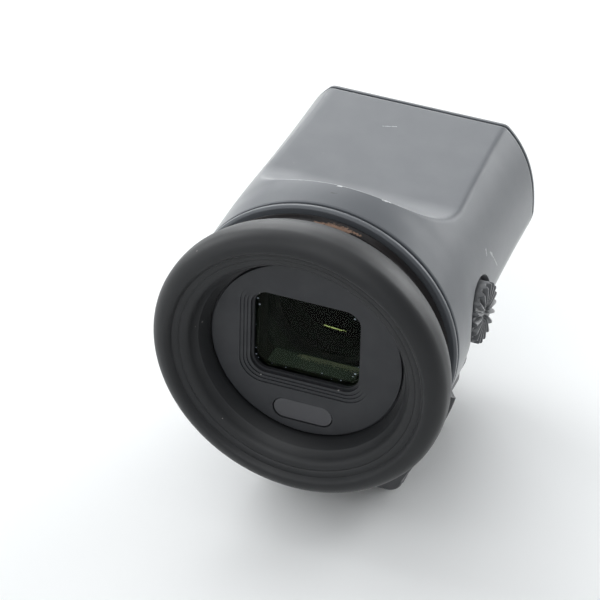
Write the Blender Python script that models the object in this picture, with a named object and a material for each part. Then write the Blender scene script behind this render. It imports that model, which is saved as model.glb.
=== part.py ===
"""Clip-on electronic viewfinder with a tilting head, built in metres with +Z up.

The optical axis runs along Y and the eyecup faces -Y. The origin is the middle of the underside of the
shoe foot, on which the finder stands. Depths are counted from the eyecup towards the far end.
"""
import math

import bmesh
import bpy
from mathutils import Vector

# Overall places and clearances
SEAM_GAP = 0.0003             # gap between pieces that rest on each other
RUNNING_GAP = 0.0001          # radial gap of a shaft in its bore
INSET_GAP = 0.00015           # gap round a window let into its frame
CUT_OVERRUN = 0.002           # how far a cutter runs past the face that it cuts

# Eyecup
EYECUP_RADIUS = 0.0200
EYECUP_LENGTH = 0.0075
EYECUP_ROLL = 0.0023
EYECUP_FACE_DISH = 0.0009
BOWL_DEPTH = 0.0046
BOWL_STEP = 0.0003

# Eyepiece bezel, window and eye sensor
BEZEL_SEAT_THICKNESS = 0.0012
BEZEL_THICKNESS = 0.0034
FRAME_CORNER = 0.0026
FRAME_STEP = 0.0004
FRAME_STEP_DEPTH = 0.00025
FRAME_STEPS = 4
FRAME_CENTRE_X = -0.0003
FRAME_CENTRE_RISE = 0.0010
WINDOW_LEDGE = 0.0007
WINDOW_LEDGE_THICKNESS = 0.0004
WINDOW_THICKNESS = 0.0008
SENSOR_LENGTH = 0.0080
SENSOR_HEIGHT = 0.0029
SENSOR_THICKNESS = 0.0007
SENSOR_ROOM_DEPTH = 0.0011
SENSOR_BOARD_THICKNESS = 0.0006
SENSOR_CHIP = 0.0013
SENSOR_CHIP_SPACING = 0.0044

# Gloss ring and collar ring
RING_LENGTH = 0.0019
RING_WAIST = 0.0003
COLLAR_LENGTH = 0.0008
COLLAR_EDGE = 0.0003

# Housing
HOUSING_LENGTH = 0.0342
HOUSING_WALL = 0.0013
SHOULDER_LENGTH = 0.0047
SCOOP_RADIUS = 0.0117         # hollow sweep from the flat up to the shoulder
SCOOP_DEPTH = 0.0139          # where the sweep leaves the flat, from the housing's rear edge
END_PLATE_THICKNESS = 0.0005
END_PLUG_DEPTH = 0.0012
BELLY_THICKNESS = 0.0010

# Lens group
TUBE_WALL = 0.0011
TUBE_FLANGE_THICKNESS = 0.0012
TUBE_LENGTH = 0.0209
CARRIER_WALL = 0.0011
CARRIER_LENGTH = 0.0120
CARRIER_DEPTH = 0.0036        # carrier at rest behind the tube's front
SHOULDER_WIDTH = 0.0009       # shoulder inside the carrier that both lenses rest on
SHOULDER_THICKNESS = 0.0028
SHOULDER_DEPTH = 0.0054
EYE_LENS_EDGE = 0.0014
EYE_LENS_CROWN = 0.0014
FIELD_LENS_EDGE = 0.0012
FIELD_LENS_CROWN = 0.0011
RETAINER_LENGTH = 0.0012
LUG_WIDTH = 0.0046
LUG_MARGIN = 0.0010

# Dioptre dial and its eccentric
DIAL_DEPTH = 0.0102           # dial axis from the housing's rear edge
DIAL_RADIUS = 0.0041
DIAL_PROUD = 0.0010
DIAL_EDGE = 0.0002
DIAL_RIBS = 18
DIAL_RIB_HEIGHT = 0.0004
DIAL_HUB_RADIUS = 0.0011
POCKET_GAP = 0.0008
POCKET_DEPTH = 0.0015
BOSS_RADIUS = 0.0055
BOSS_LENGTH = 0.0016          # from the crank's room to the pocket's floor
SHAFT_RADIUS = 0.0010
CRANK_RADIUS = 0.0030
CRANK_THICKNESS = 0.0008
ECCENTRIC = 0.0020
DIAL_SWING_DEGREES = 55.0
PIN_RADIUS = 0.0006
PIN_PLAY = 0.0002
PIN_REACH = 0.0015
WASHER_THICKNESS = 0.0003
WASHER_RADIUS = 0.0026

# Display, driver board and flat cable
DISPLAY_THICKNESS = 0.0014
DISPLAY_RIM = 0.0025
FRAME_BACK = 0.0005
POST_RADIUS = 0.0008
POST_LENGTH = 0.0009
BOARD_THICKNESS = 0.0008
CHIP_WIDTH = 0.0070
CHIP_HEIGHT = 0.0050
CHIP_THICKNESS = 0.0009
FLEX_WIDTH = 0.0060
FLEX_THICKNESS = 0.0002
FLEX_BEND = 0.0006
FLEX_TAIL = 0.0022

# Hinge
HINGE_SETBACK = 0.0052        # hinge axis from the housing's far edge
HINGE_BELOW_BELLY = 0.0036    # hinge axis below the flat belly
KNUCKLE_RADIUS = 0.0029
KNUCKLE_WIDTH = 0.0126
BRACKET_REACH = 0.0063
BRACKET_THICKNESS = 0.0012
EAR_RADIUS = 0.0031
EAR_THICKNESS = 0.0026
EAR_LAP = 0.0012              # how far an ear runs into the cradle
HINGE_PIN_RADIUS = 0.0011
HINGE_PIN_DEPTH = 0.0026
HINGE_HEAD_RADIUS = 0.0018
HINGE_HEAD_THICKNESS = 0.0006
HINGE_WASHER_RADIUS = 0.0023

# Base
BASE_BELOW_HINGE = 0.0076     # underside of the base below the hinge axis
CRADLE_GAP = 0.0004
CRADLE_SETBACK = 0.0008
CRADLE_CORNER = 0.0020
CRADLE_EDGE = 0.0004
BASE_ROOM_HALF_WIDTH = 0.0072
BASE_ROOM_REAR = 0.0090
BASE_ROOM_FRONT = 0.0055
BASE_ROOF = 0.0016
BASE_COVER_THICKNESS = 0.0012
BASE_COVER_LAP = 0.0010
BASE_BOARD_THICKNESS = 0.0008
SCREW_BOSS_RADIUS = 0.0018

# Accessory foot
FOOT_WIDTH = 0.0184
FOOT_LENGTH = 0.0172
FOOT_THICKNESS = 0.0020
FOOT_CORNER = 0.0010
NECK_HEIGHT = 0.0016          # foot plate to the underside of the base
NECK_WIDTH = 0.0122
NECK_LENGTH = 0.0160
CONTACT_WIDTH = 0.0098
CONTACT_LENGTH = 0.0020
CONTACT_THICKNESS = 0.0010
CONTACT_FORWARD = 0.0075
CONTACT_PINS = 4
CONTACT_SPACING = 0.0023
CONTACT_PIN_RADIUS = 0.0004
CONTACT_RECESS = 0.0001

# Screws
SCREW_RADIUS = 0.0007
SCREW_HEAD_RADIUS = 0.0013
SCREW_HEAD_THICKNESS = 0.0006
SCREW_SLOT_WIDTH = 0.0003
SCREW_SLOT_DEPTH = 0.0003
FOOT_SCREW_LENGTH = 0.0065
FOOT_SCREW_SPACING_X = 0.0080
FOOT_SCREW_SPACING_Y = 0.0088
BRACKET_SCREW_LENGTH = 0.0016
BRACKET_SCREW_SPACING = 0.0038

# Shape shares
ROUND_POWER_SHARE = 2.0       # a superellipse of this power is an ellipse
END_POWER_SHARE = 2.5         # upper half at the far end, slightly square
KEEL_POWER_SHARE = 1.45       # lower half at the far end, drawn in to a keel
# Each pair: depth along the housing, and how far its section has gone from round to the end section
SECTION_SHARES = ((0.0, 0.0), (0.07, 0.0), (0.14, 0.03), (0.22, 0.25), (0.33, 0.50), (0.45, 0.68),
                  (0.58, 0.82), (0.80, 0.95), (1.0, 1.0))
# Each row: depth along the cradle, how narrow it has become, how far its top edge has come down
CRADLE_SHARES = ((0.0, 0.0, 0.0), (0.16, 0.22, 0.35), (0.36, 0.52, 0.65), (0.58, 0.80, 0.88),
                 (0.80, 1.0, 1.0), (1.0, 1.0, 1.0))
EYECUP_SIDE_SHARE = 0.45      # part of the eyecup's length that keeps its full radius
EYECUP_BACK_SHARE = 0.35      # how far the back has drawn in at the shares above and below
EYECUP_BACK_DEPTH_SHARE = 0.72
BOWL_STEP_SHARE = 0.30        # where the small step in the conical bowl lies

# Sizes of the eyepiece, the head and the cradle as shares of the eyecup's radius
EYECUP_BACK_RADIUS_SHARE = 0.90
EYECUP_LIP_RADIUS_SHARE = 0.755
BEZEL_RADIUS_SHARE = 0.665
BEZEL_SEAT_RADIUS_SHARE = 0.765
RING_RADIUS_SHARE = 0.88
COLLAR_RADIUS_SHARE = 0.92
SLEEVE_RADIUS_SHARE = 0.775
SLEEVE_BORE_SHARE = 0.695
FRAME_WIDTH_SHARE = 0.885
FRAME_HEIGHT_SHARE = 0.765
SENSOR_DROP_SHARE = 0.50
SHOULDER_RADIUS_SHARE = 0.945
SHOULDER_HALF_WIDTH_SHARE = 0.915
SHOULDER_KEEL_DEPTH_SHARE = 0.90
END_HALF_WIDTH_SHARE = 0.845
END_TOP_RADIUS_SHARE = 0.82
END_KEEL_DEPTH_SHARE = 0.88
BELLY_DROP_SHARE = 0.71
FLAT_RISE_SHARE = 0.64
TUBE_BORE_SHARE = 0.50
DISPLAY_WIDTH_SHARE = 0.65
DISPLAY_HEIGHT_SHARE = 0.52
CRADLE_TOP_DROP_SHARE = 0.37
CRADLE_TOP_HALF_WIDTH_SHARE = 0.905
CRADLE_BULGE_DROP_SHARE = 0.70
CRADLE_BULGE_HALF_WIDTH_SHARE = 0.79
CRADLE_FOOT_HALF_WIDTH_SHARE = 0.56
CRADLE_FAR_HALF_WIDTH_SHARE = 0.53

# Middle of the foot, from the housing's rear edge, as a share of the housing's length
FOOT_PLACE_SHARE = 0.44737

ROUND_STEPS = 48
MEDIUM_STEPS = 28
SMALL_STEPS = 14
SCOOP_STEPS = 12
CORNER_STEPS = 5
EAR_STEPS = 7
CRADLE_SIDE_STEPS = 7

# Sizes that follow the eyecup's radius
EYECUP_BACK_RADIUS = EYECUP_RADIUS * EYECUP_BACK_RADIUS_SHARE
EYECUP_LIP_RADIUS = EYECUP_RADIUS * EYECUP_LIP_RADIUS_SHARE
BEZEL_RADIUS = EYECUP_RADIUS * BEZEL_RADIUS_SHARE
BEZEL_SEAT_RADIUS = EYECUP_RADIUS * BEZEL_SEAT_RADIUS_SHARE
RING_RADIUS = EYECUP_RADIUS * RING_RADIUS_SHARE
COLLAR_RADIUS = EYECUP_RADIUS * COLLAR_RADIUS_SHARE
SLEEVE_RADIUS = EYECUP_RADIUS * SLEEVE_RADIUS_SHARE       # neck that carries eyecup and rings
SLEEVE_BORE = EYECUP_RADIUS * SLEEVE_BORE_SHARE
FRAME_WIDTH = EYECUP_RADIUS * FRAME_WIDTH_SHARE           # stepped frame at the bezel's face
FRAME_HEIGHT = EYECUP_RADIUS * FRAME_HEIGHT_SHARE
SENSOR_DROP = EYECUP_RADIUS * SENSOR_DROP_SHARE
SHOULDER_RADIUS = EYECUP_RADIUS * SHOULDER_RADIUS_SHARE   # top of the shoulder above the optical axis
SHOULDER_HALF_WIDTH = EYECUP_RADIUS * SHOULDER_HALF_WIDTH_SHARE
SHOULDER_KEEL_DEPTH = EYECUP_RADIUS * SHOULDER_KEEL_DEPTH_SHARE
END_HALF_WIDTH = EYECUP_RADIUS * END_HALF_WIDTH_SHARE
END_TOP_RADIUS = EYECUP_RADIUS * END_TOP_RADIUS_SHARE
END_KEEL_DEPTH = EYECUP_RADIUS * END_KEEL_DEPTH_SHARE
BELLY_DROP = EYECUP_RADIUS * BELLY_DROP_SHARE             # flat belly below the optical axis
FLAT_RISE = EYECUP_RADIUS * FLAT_RISE_SHARE               # flat top above the optical axis
TUBE_BORE = EYECUP_RADIUS * TUBE_BORE_SHARE
DISPLAY_WIDTH = EYECUP_RADIUS * DISPLAY_WIDTH_SHARE
DISPLAY_HEIGHT = EYECUP_RADIUS * DISPLAY_HEIGHT_SHARE
CRADLE_TOP_DROP = EYECUP_RADIUS * CRADLE_TOP_DROP_SHARE
CRADLE_TOP_HALF_WIDTH = EYECUP_RADIUS * CRADLE_TOP_HALF_WIDTH_SHARE
CRADLE_BULGE_DROP = EYECUP_RADIUS * CRADLE_BULGE_DROP_SHARE
CRADLE_BULGE_HALF_WIDTH = EYECUP_RADIUS * CRADLE_BULGE_HALF_WIDTH_SHARE
CRADLE_FOOT_HALF_WIDTH = EYECUP_RADIUS * CRADLE_FOOT_HALF_WIDTH_SHARE
CRADLE_FAR_HALF_WIDTH = EYECUP_RADIUS * CRADLE_FAR_HALF_WIDTH_SHARE

# Places along Y, from the eyecup to the far end
RIM_BEHIND_HOUSING = EYECUP_LENGTH + RING_LENGTH + COLLAR_LENGTH + 3 * SEAM_GAP
RIM_Y = -(HOUSING_LENGTH * FOOT_PLACE_SHARE + RIM_BEHIND_HOUSING)
BEZEL_Y = RIM_Y + BOWL_DEPTH
BEZEL_SEAT_Y = BEZEL_Y + 2 * SEAM_GAP
BEZEL_SEAT_END_Y = BEZEL_SEAT_Y + BEZEL_SEAT_THICKNESS
SLEEVE_Y = BEZEL_SEAT_END_Y + SEAM_GAP
BEZEL_END_Y = BEZEL_Y + BEZEL_THICKNESS
EYECUP_BACK_Y = RIM_Y + EYECUP_LENGTH
RING_Y = EYECUP_BACK_Y + SEAM_GAP
RING_END_Y = RING_Y + RING_LENGTH
COLLAR_Y = RING_END_Y + SEAM_GAP
COLLAR_END_Y = COLLAR_Y + COLLAR_LENGTH
HOUSING_Y = COLLAR_END_Y + SEAM_GAP
HOUSING_END_Y = HOUSING_Y + HOUSING_LENGTH
TUBE_Y = BEZEL_END_Y + SEAM_GAP
TUBE_END_Y = TUBE_Y + TUBE_LENGTH
CARRIER_Y = TUBE_Y + CARRIER_DEPTH
DISPLAY_FRAME_Y = TUBE_END_Y + SEAM_GAP
DISPLAY_Y = DISPLAY_FRAME_Y + SEAM_GAP
DISPLAY_FRAME_END_Y = DISPLAY_Y + DISPLAY_THICKNESS + SEAM_GAP + FRAME_BACK
BOARD_Y = DISPLAY_FRAME_END_Y + POST_LENGTH + SEAM_GAP
DIAL_Y = HOUSING_Y + DIAL_DEPTH
HINGE_Y = HOUSING_END_Y - HINGE_SETBACK
CRADLE_Y = HOUSING_Y + CRADLE_SETBACK
CRADLE_END_Y = HINGE_Y - KNUCKLE_RADIUS - CRADLE_GAP

# Places along Z, from the underside of the foot
HINGE_DROP = BELLY_DROP + HINGE_BELOW_BELLY
BASE_DROP = HINGE_DROP + BASE_BELOW_HINGE
BASE_Z = FOOT_THICKNESS + NECK_HEIGHT
AXIS_HEIGHT = BASE_Z + BASE_DROP
HINGE_Z = AXIS_HEIGHT - HINGE_DROP
BELLY_Z = AXIS_HEIGHT - BELLY_DROP
FLAT_Z = AXIS_HEIGHT + FLAT_RISE
COVER_TOP_Z = BASE_Z + BASE_COVER_THICKNESS
ROOF_Z = BELLY_Z - CRADLE_GAP - BASE_ROOF
BRACKET_TOP_Z = BELLY_Z - SEAM_GAP
BRACKET_BOTTOM_Z = BRACKET_TOP_Z - BRACKET_THICKNESS
AXIS_POINT = Vector((0, 0, AXIS_HEIGHT))
DIAL_POINT = Vector((0, DIAL_Y, AXIS_HEIGHT))
HINGE_POINT = Vector((0, HINGE_Y, HINGE_Z))


def clear_scene():
    for obj in list(bpy.data.objects):
        bpy.data.objects.remove(obj, do_unlink=True)


def make_material(name, colour, roughness, metallic=0.0, transmission=0.0):
    material = bpy.data.materials.new(name)
    material.use_nodes = True
    shader = material.node_tree.nodes["Principled BSDF"]
    shader.inputs["Base Color"].default_value = (*colour, 1.0)
    shader.inputs["Roughness"].default_value = roughness
    shader.inputs["Metallic"].default_value = metallic
    shader.inputs["Transmission Weight"].default_value = transmission
    material.diffuse_color = (*colour, 1.0)
    return material


def finish_mesh(mesh):
    mesh.shade_smooth()
    mesh.set_sharp_from_angle(angle=math.radians(35.0))


def place(bm, name, material=None, parent=None):
    """Turn a bmesh into an object of the scene, with its faces pointing out."""
    bmesh.ops.recalc_face_normals(bm, faces=bm.faces)
    mesh = bpy.data.meshes.new(name)
    bm.to_mesh(mesh)
    bm.free()
    finish_mesh(mesh)
    obj = bpy.data.objects.new(name, mesh)
    bpy.context.scene.collection.objects.link(obj)
    if material:
        mesh.materials.append(material)
    if parent:
        obj.parent = parent
        obj.matrix_parent_inverse = parent.matrix_world.inverted()
    return obj


def pivot(name, location, parent=None):
    """Empty on a joint's axis, which carries the pieces that move on that joint."""
    empty = bpy.data.objects.new(name, None)
    empty.empty_display_size = DIAL_RADIUS
    empty.location = location
    bpy.context.scene.collection.objects.link(empty)
    bpy.context.view_layer.update()
    if parent:
        empty.parent = parent
        empty.matrix_parent_inverse = parent.matrix_world.inverted()
        bpy.context.view_layer.update()
    return empty


def loft(rings, closed=False):
    """Skin a list of rings of points; the first and last ring are capped unless the loft is closed."""
    bm = bmesh.new()
    rows = [[bm.verts.new(point) for point in ring] for ring in rings]
    pairs = list(zip(rows, rows[1:]))
    if closed:
        pairs.append((rows[-1], rows[0]))
    for row, other in pairs:
        count = len(row)
        for index in range(count):
            after = (index + 1) % count
            bm.faces.new((row[index], row[after], other[after], other[index]))
    if not closed:
        bm.faces.new(rows[0])
        bm.faces.new(rows[-1])
    return bm


def turned(profile, steps, centre, axis):
    """Rings of an outline of (radius, place along the axis), turned about an axis through the centre."""
    rings = []
    for radius, along in profile:
        ring = []
        for step in range(steps):
            angle = math.tau * step / steps
            first = radius * math.cos(angle)
            second = radius * math.sin(angle)
            if axis == "X":
                ring.append((along, centre.y + first, centre.z + second))
            elif axis == "Y":
                ring.append((centre.x + first, along, centre.z + second))
            else:
                ring.append((centre.x + first, centre.y + second, along))
        rings.append(ring)
    return rings


def turned_ring(profile, steps=ROUND_STEPS, centre=AXIS_POINT, axis="Y"):
    """Turned piece with a bore: the outline is closed and keeps off the axis."""
    return loft(turned(profile, steps, centre, axis), closed=True)


def turned_solid(profile, steps=SMALL_STEPS, centre=AXIS_POINT, axis="Y"):
    """Turned piece without a bore: the first and last circles are capped."""
    return loft(turned(profile, steps, centre, axis))


def rod(radius, low, high, centre, axis, steps=SMALL_STEPS):
    return turned_solid([(radius, low), (radius, high)], steps, centre, axis)


def washer(radius, bore, low, high, centre, axis, steps=SMALL_STEPS):
    return turned_ring([(bore, low), (radius, low), (radius, high), (bore, high)], steps, centre, axis)


def extruded(outline, low, high, axis):
    """Extrude an outline of pairs along an axis from low to high."""
    rings = []
    for along in (low, high):
        if axis == "X":
            rings.append([(along, first, second) for first, second in outline])
        elif axis == "Y":
            rings.append([(first, along, second) for first, second in outline])
        else:
            rings.append([(first, second, along) for first, second in outline])
    return loft(rings)


def rounded_rectangle(centre, width, height, corner, steps=CORNER_STEPS):
    """Outline of a rectangle with round corners."""
    points = []
    for quarter, (side_x, side_y) in enumerate(((1, 1), (-1, 1), (-1, -1), (1, -1))):
        middle_x = centre[0] + side_x * (width / 2 - corner)
        middle_y = centre[1] + side_y * (height / 2 - corner)
        for step in range(steps + 1):
            angle = math.pi / 2 * (quarter + step / steps)
            points.append((middle_x + corner * math.cos(angle), middle_y + corner * math.sin(angle)))
    return points


def box(low, high):
    outline = [(low[0], low[1]), (high[0], low[1]), (high[0], high[1]), (low[0], high[1])]
    return extruded(outline, low[2], high[2], "Z")


def combine(target, tool_mesh, operation):
    """Cut a piece with a tool, or join the tool to it, and drop the tool."""
    tool = place(tool_mesh, "tool")
    modifier = target.modifiers.new(operation.lower(), "BOOLEAN")
    modifier.operation = operation
    modifier.solver = "EXACT"
    modifier.object = tool
    graph = bpy.context.evaluated_depsgraph_get()
    mesh = bpy.data.meshes.new_from_object(target.evaluated_get(graph))
    target.modifiers.remove(modifier)
    target.data = mesh
    bpy.data.objects.remove(tool, do_unlink=True)
    finish_mesh(mesh)


def cut(target, tool_mesh):
    combine(target, tool_mesh, "DIFFERENCE")


def join(target, tool_mesh):
    combine(target, tool_mesh, "UNION")


def blend(near, far, share):
    return near + (far - near) * share


def section_share(along):
    """How far the housing's section has changed at a place along Y."""
    depth_share = (along - HOUSING_Y) / HOUSING_LENGTH
    if depth_share <= 0:
        return SECTION_SHARES[0][1]
    for (low, low_change), (high, high_change) in zip(SECTION_SHARES, SECTION_SHARES[1:]):
        if depth_share <= high:
            return blend(low_change, high_change, (depth_share - low) / (high - low))
    return SECTION_SHARES[-1][1]


def section_sizes(along, inset):
    """Half width, top radius and keel depth of the housing, with their powers, at a place along Y."""
    share = section_share(along)
    rise_share = min(1.0, max(0.0, (along - HOUSING_Y) / SHOULDER_LENGTH))
    half_width = blend(blend(COLLAR_RADIUS, SHOULDER_HALF_WIDTH, rise_share), END_HALF_WIDTH, share) - inset
    top = blend(blend(COLLAR_RADIUS, SHOULDER_RADIUS, rise_share), END_TOP_RADIUS, share * share) - inset
    keel = blend(blend(COLLAR_RADIUS, SHOULDER_KEEL_DEPTH, rise_share), END_KEEL_DEPTH, share) - inset
    top_power = blend(ROUND_POWER_SHARE, END_POWER_SHARE, share)
    keel_power = blend(ROUND_POWER_SHARE, KEEL_POWER_SHARE, share)
    return half_width, top, keel, top_power, keel_power


def housing_ring(along, inset, lowest, highest):
    """Section of the head: round at the collar, square-shouldered over a narrow keel at the far end."""
    half_width, top, keel, top_power, keel_power = section_sizes(along, inset)
    ring = []
    for step in range(ROUND_STEPS):
        angle = math.tau * (step + 0.5) / ROUND_STEPS
        cosine = math.cos(angle)
        sine = math.sin(angle)
        rise, power = (top, top_power) if sine >= 0 else (keel, keel_power)
        across = half_width * math.copysign(abs(cosine) ** (2 / power), cosine)
        up = rise * math.copysign(abs(sine) ** (2 / power), sine)
        ring.append((across, along, min(max(AXIS_HEIGHT + up, lowest), highest)))
    return ring


def keel_half_width(along, inset, drop):
    """Half width of the housing's section at a drop below the optical axis."""
    half_width, _, keel, _, power = section_sizes(along, inset)
    return half_width * max(0.0, 1 - (drop / keel) ** power) ** (1 / power)


def housing_stations(start, end):
    stations = [start]
    for depth_share, _ in SECTION_SHARES:
        along = HOUSING_Y + HOUSING_LENGTH * depth_share
        if start + SEAM_GAP < along < end - SEAM_GAP:
            stations.append(along)
    stations.append(end)
    return stations


def housing_form(inset, start, end, lowest, highest):
    rings = [housing_ring(along, inset, lowest, highest) for along in housing_stations(start, end)]
    return loft(rings)


def scoop_tool(offset):
    """Cutter over the flat top and the hollow sweep that rises from it to the shoulder."""
    floor = FLAT_Z - offset
    radius = SCOOP_RADIUS + offset
    ceiling = min(AXIS_HEIGHT + SHOULDER_RADIUS + CUT_OVERRUN, floor + radius)
    start_y = HOUSING_Y + SCOOP_DEPTH
    far_y = HOUSING_END_Y + 2 * CUT_OVERRUN
    sweep = math.acos(1 - (ceiling - floor) / radius)
    outline = [(far_y, floor)]
    for step in range(SCOOP_STEPS + 1):
        angle = sweep * step / SCOOP_STEPS
        outline.append((start_y - radius * math.sin(angle), floor + radius * (1 - math.cos(angle))))
    top = ceiling + CUT_OVERRUN
    outline.append((outline[-1][0], top))
    outline.append((far_y, top))
    reach = SHOULDER_RADIUS + CUT_OVERRUN
    return extruded(outline, -reach, reach, "X")


def build_eyecup(material, parent):
    """Rubber cup: rolled rim, dished face, conical bowl with a small step, round back."""
    face_y = RIM_Y + EYECUP_FACE_DISH
    profile = [(EYECUP_LIP_RADIUS + EYECUP_FACE_DISH, face_y)]
    roll_radius = EYECUP_RADIUS - EYECUP_ROLL
    for step in range(CORNER_STEPS + 1):
        angle = math.pi / 2 * step / CORNER_STEPS
        profile.append((roll_radius + EYECUP_ROLL * math.sin(angle),
                        RIM_Y + EYECUP_ROLL * (1 - math.cos(angle))))
    profile.append((EYECUP_RADIUS, RIM_Y + EYECUP_LENGTH * EYECUP_SIDE_SHARE))
    profile.append((blend(EYECUP_RADIUS, EYECUP_BACK_RADIUS, EYECUP_BACK_SHARE),
                    RIM_Y + EYECUP_LENGTH * EYECUP_BACK_DEPTH_SHARE))
    profile.append((EYECUP_BACK_RADIUS, EYECUP_BACK_Y))
    profile.append((SLEEVE_RADIUS + SEAM_GAP, EYECUP_BACK_Y))
    profile.append((SLEEVE_RADIUS + SEAM_GAP, BEZEL_Y + SEAM_GAP))
    profile.append((BEZEL_RADIUS, BEZEL_Y + SEAM_GAP))
    profile.append((BEZEL_RADIUS, BEZEL_Y))
    step_radius = blend(EYECUP_LIP_RADIUS, BEZEL_RADIUS, BOWL_STEP_SHARE)
    step_y = blend(face_y, BEZEL_Y, BOWL_STEP_SHARE)
    profile.append((step_radius - BOWL_STEP, step_y + BOWL_STEP))
    profile.append((step_radius, step_y))
    profile.append((EYECUP_LIP_RADIUS, face_y + EYECUP_FACE_DISH / 2))
    place(turned_ring(profile), "eyecup", material, parent)


def build_rings(gloss, plastic, parent):
    """Gloss clamp ring with a hollow waist, and the narrow collar ring behind it."""
    bore = SLEEVE_RADIUS + SEAM_GAP
    middle_y = (RING_Y + RING_END_Y) / 2
    profile = [(bore, RING_Y), (RING_RADIUS, RING_Y), (RING_RADIUS - RING_WAIST, middle_y),
               (RING_RADIUS, RING_END_Y), (bore, RING_END_Y)]
    place(turned_ring(profile), "eyecup_ring", gloss, parent)
    profile = [(bore, COLLAR_Y), (COLLAR_RADIUS - COLLAR_EDGE, COLLAR_Y),
               (COLLAR_RADIUS, COLLAR_Y + COLLAR_EDGE), (COLLAR_RADIUS, COLLAR_END_Y - COLLAR_EDGE),
               (COLLAR_RADIUS - COLLAR_EDGE, COLLAR_END_Y), (bore, COLLAR_END_Y)]
    place(turned_ring(profile), "collar_ring", plastic, parent)


def frame_centre():
    return FRAME_CENTRE_X, AXIS_HEIGHT + FRAME_CENTRE_RISE


def frame_opening(step):
    """Width, height and corner of the stepped frame after so many steps."""
    shrink = 2 * FRAME_STEP * step
    return FRAME_WIDTH - shrink, FRAME_HEIGHT - shrink, FRAME_CORNER - FRAME_STEP * step


def build_eyepiece(plastic, glass, dark_glass, board, parent):
    """Flat bezel with a stepped window frame, its glass, and the eye sensor below it."""
    boss = SLEEVE_BORE - SEAM_GAP
    disc = BEZEL_RADIUS - SEAM_GAP
    profile = [(disc, BEZEL_Y), (disc, BEZEL_SEAT_Y), (BEZEL_SEAT_RADIUS, BEZEL_SEAT_Y),
               (BEZEL_SEAT_RADIUS, BEZEL_SEAT_END_Y), (boss, BEZEL_SEAT_END_Y), (boss, BEZEL_END_Y)]
    bezel = place(turned_solid(profile, ROUND_STEPS), "eyepiece_bezel", plastic, parent)
    for step in range(FRAME_STEPS):
        width, height, corner = frame_opening(step)
        floor_y = BEZEL_Y + FRAME_STEP_DEPTH * (step + 1)
        outline = rounded_rectangle(frame_centre(), width, height, corner)
        cut(bezel, extruded(outline, BEZEL_Y - CUT_OVERRUN, floor_y, "Y"))
    ledge_y = BEZEL_Y + FRAME_STEP_DEPTH * FRAME_STEPS
    width, height, corner = frame_opening(FRAME_STEPS)
    outline = rounded_rectangle(frame_centre(), width, height, corner)
    cut(bezel, extruded(outline, BEZEL_Y - CUT_OVERRUN, BEZEL_END_Y + CUT_OVERRUN, "Y"))
    seat_width = width + 2 * WINDOW_LEDGE
    seat_height = height + 2 * WINDOW_LEDGE
    outline = rounded_rectangle(frame_centre(), seat_width, seat_height, corner)
    seat_y = ledge_y + WINDOW_LEDGE_THICKNESS
    cut(bezel, extruded(outline, seat_y, BEZEL_END_Y + CUT_OVERRUN, "Y"))
    glass_width = seat_width - 2 * INSET_GAP
    glass_height = seat_height - 2 * INSET_GAP
    outline = rounded_rectangle(frame_centre(), glass_width, glass_height, corner)
    glass_y = seat_y + INSET_GAP
    place(extruded(outline, glass_y, glass_y + WINDOW_THICKNESS, "Y"), "eyepiece_window", glass, parent)

    sensor_centre = (FRAME_CENTRE_X, AXIS_HEIGHT - SENSOR_DROP)
    opening_length = SENSOR_LENGTH + 2 * INSET_GAP
    opening_height = SENSOR_HEIGHT + 2 * INSET_GAP
    outline = rounded_rectangle(sensor_centre, opening_length, opening_height, opening_height / 2)
    cut(bezel, extruded(outline, BEZEL_Y - CUT_OVERRUN, BEZEL_END_Y + CUT_OVERRUN, "Y"))
    room_length = opening_length + 2 * SEAM_GAP
    room_height = opening_height + 2 * SEAM_GAP
    outline = rounded_rectangle(sensor_centre, room_length, room_height, SEAM_GAP)
    room_y = BEZEL_Y + SENSOR_ROOM_DEPTH
    cut(bezel, extruded(outline, room_y, BEZEL_END_Y + CUT_OVERRUN, "Y"))
    outline = rounded_rectangle(sensor_centre, SENSOR_LENGTH, SENSOR_HEIGHT, SENSOR_HEIGHT / 2)
    window_y = BEZEL_Y + INSET_GAP
    window_end_y = window_y + SENSOR_THICKNESS
    place(extruded(outline, window_y, window_end_y, "Y"), "sensor_window", dark_glass, parent)
    chip_y = window_end_y + SEAM_GAP
    board_y = chip_y + SENSOR_CHIP
    outline = rounded_rectangle(sensor_centre, opening_length, opening_height, SEAM_GAP)
    sensor = place(extruded(outline, board_y, board_y + SENSOR_BOARD_THICKNESS, "Y"), "sensor_board",
                   board, parent)
    for side in (-1, 1):
        middle_x = sensor_centre[0] + side * SENSOR_CHIP_SPACING / 2
        half = SENSOR_CHIP / 2
        join(sensor, box((middle_x - half, chip_y, sensor_centre[1] - half),
                         (middle_x + half, board_y + SENSOR_BOARD_THICKNESS / 2, sensor_centre[1] + half)))


def dial_wall():
    """Outer face of the housing's side at the dial."""
    return section_sizes(DIAL_Y, 0)[0]


def pocket_floor():
    return dial_wall() - POCKET_DEPTH


def lug_reach():
    """Outer face of the drive lug from the optical axis: the crank turns between it and the boss."""
    return pocket_floor() - BOSS_LENGTH - SEAM_GAP - CRANK_THICKNESS - SEAM_GAP


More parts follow.
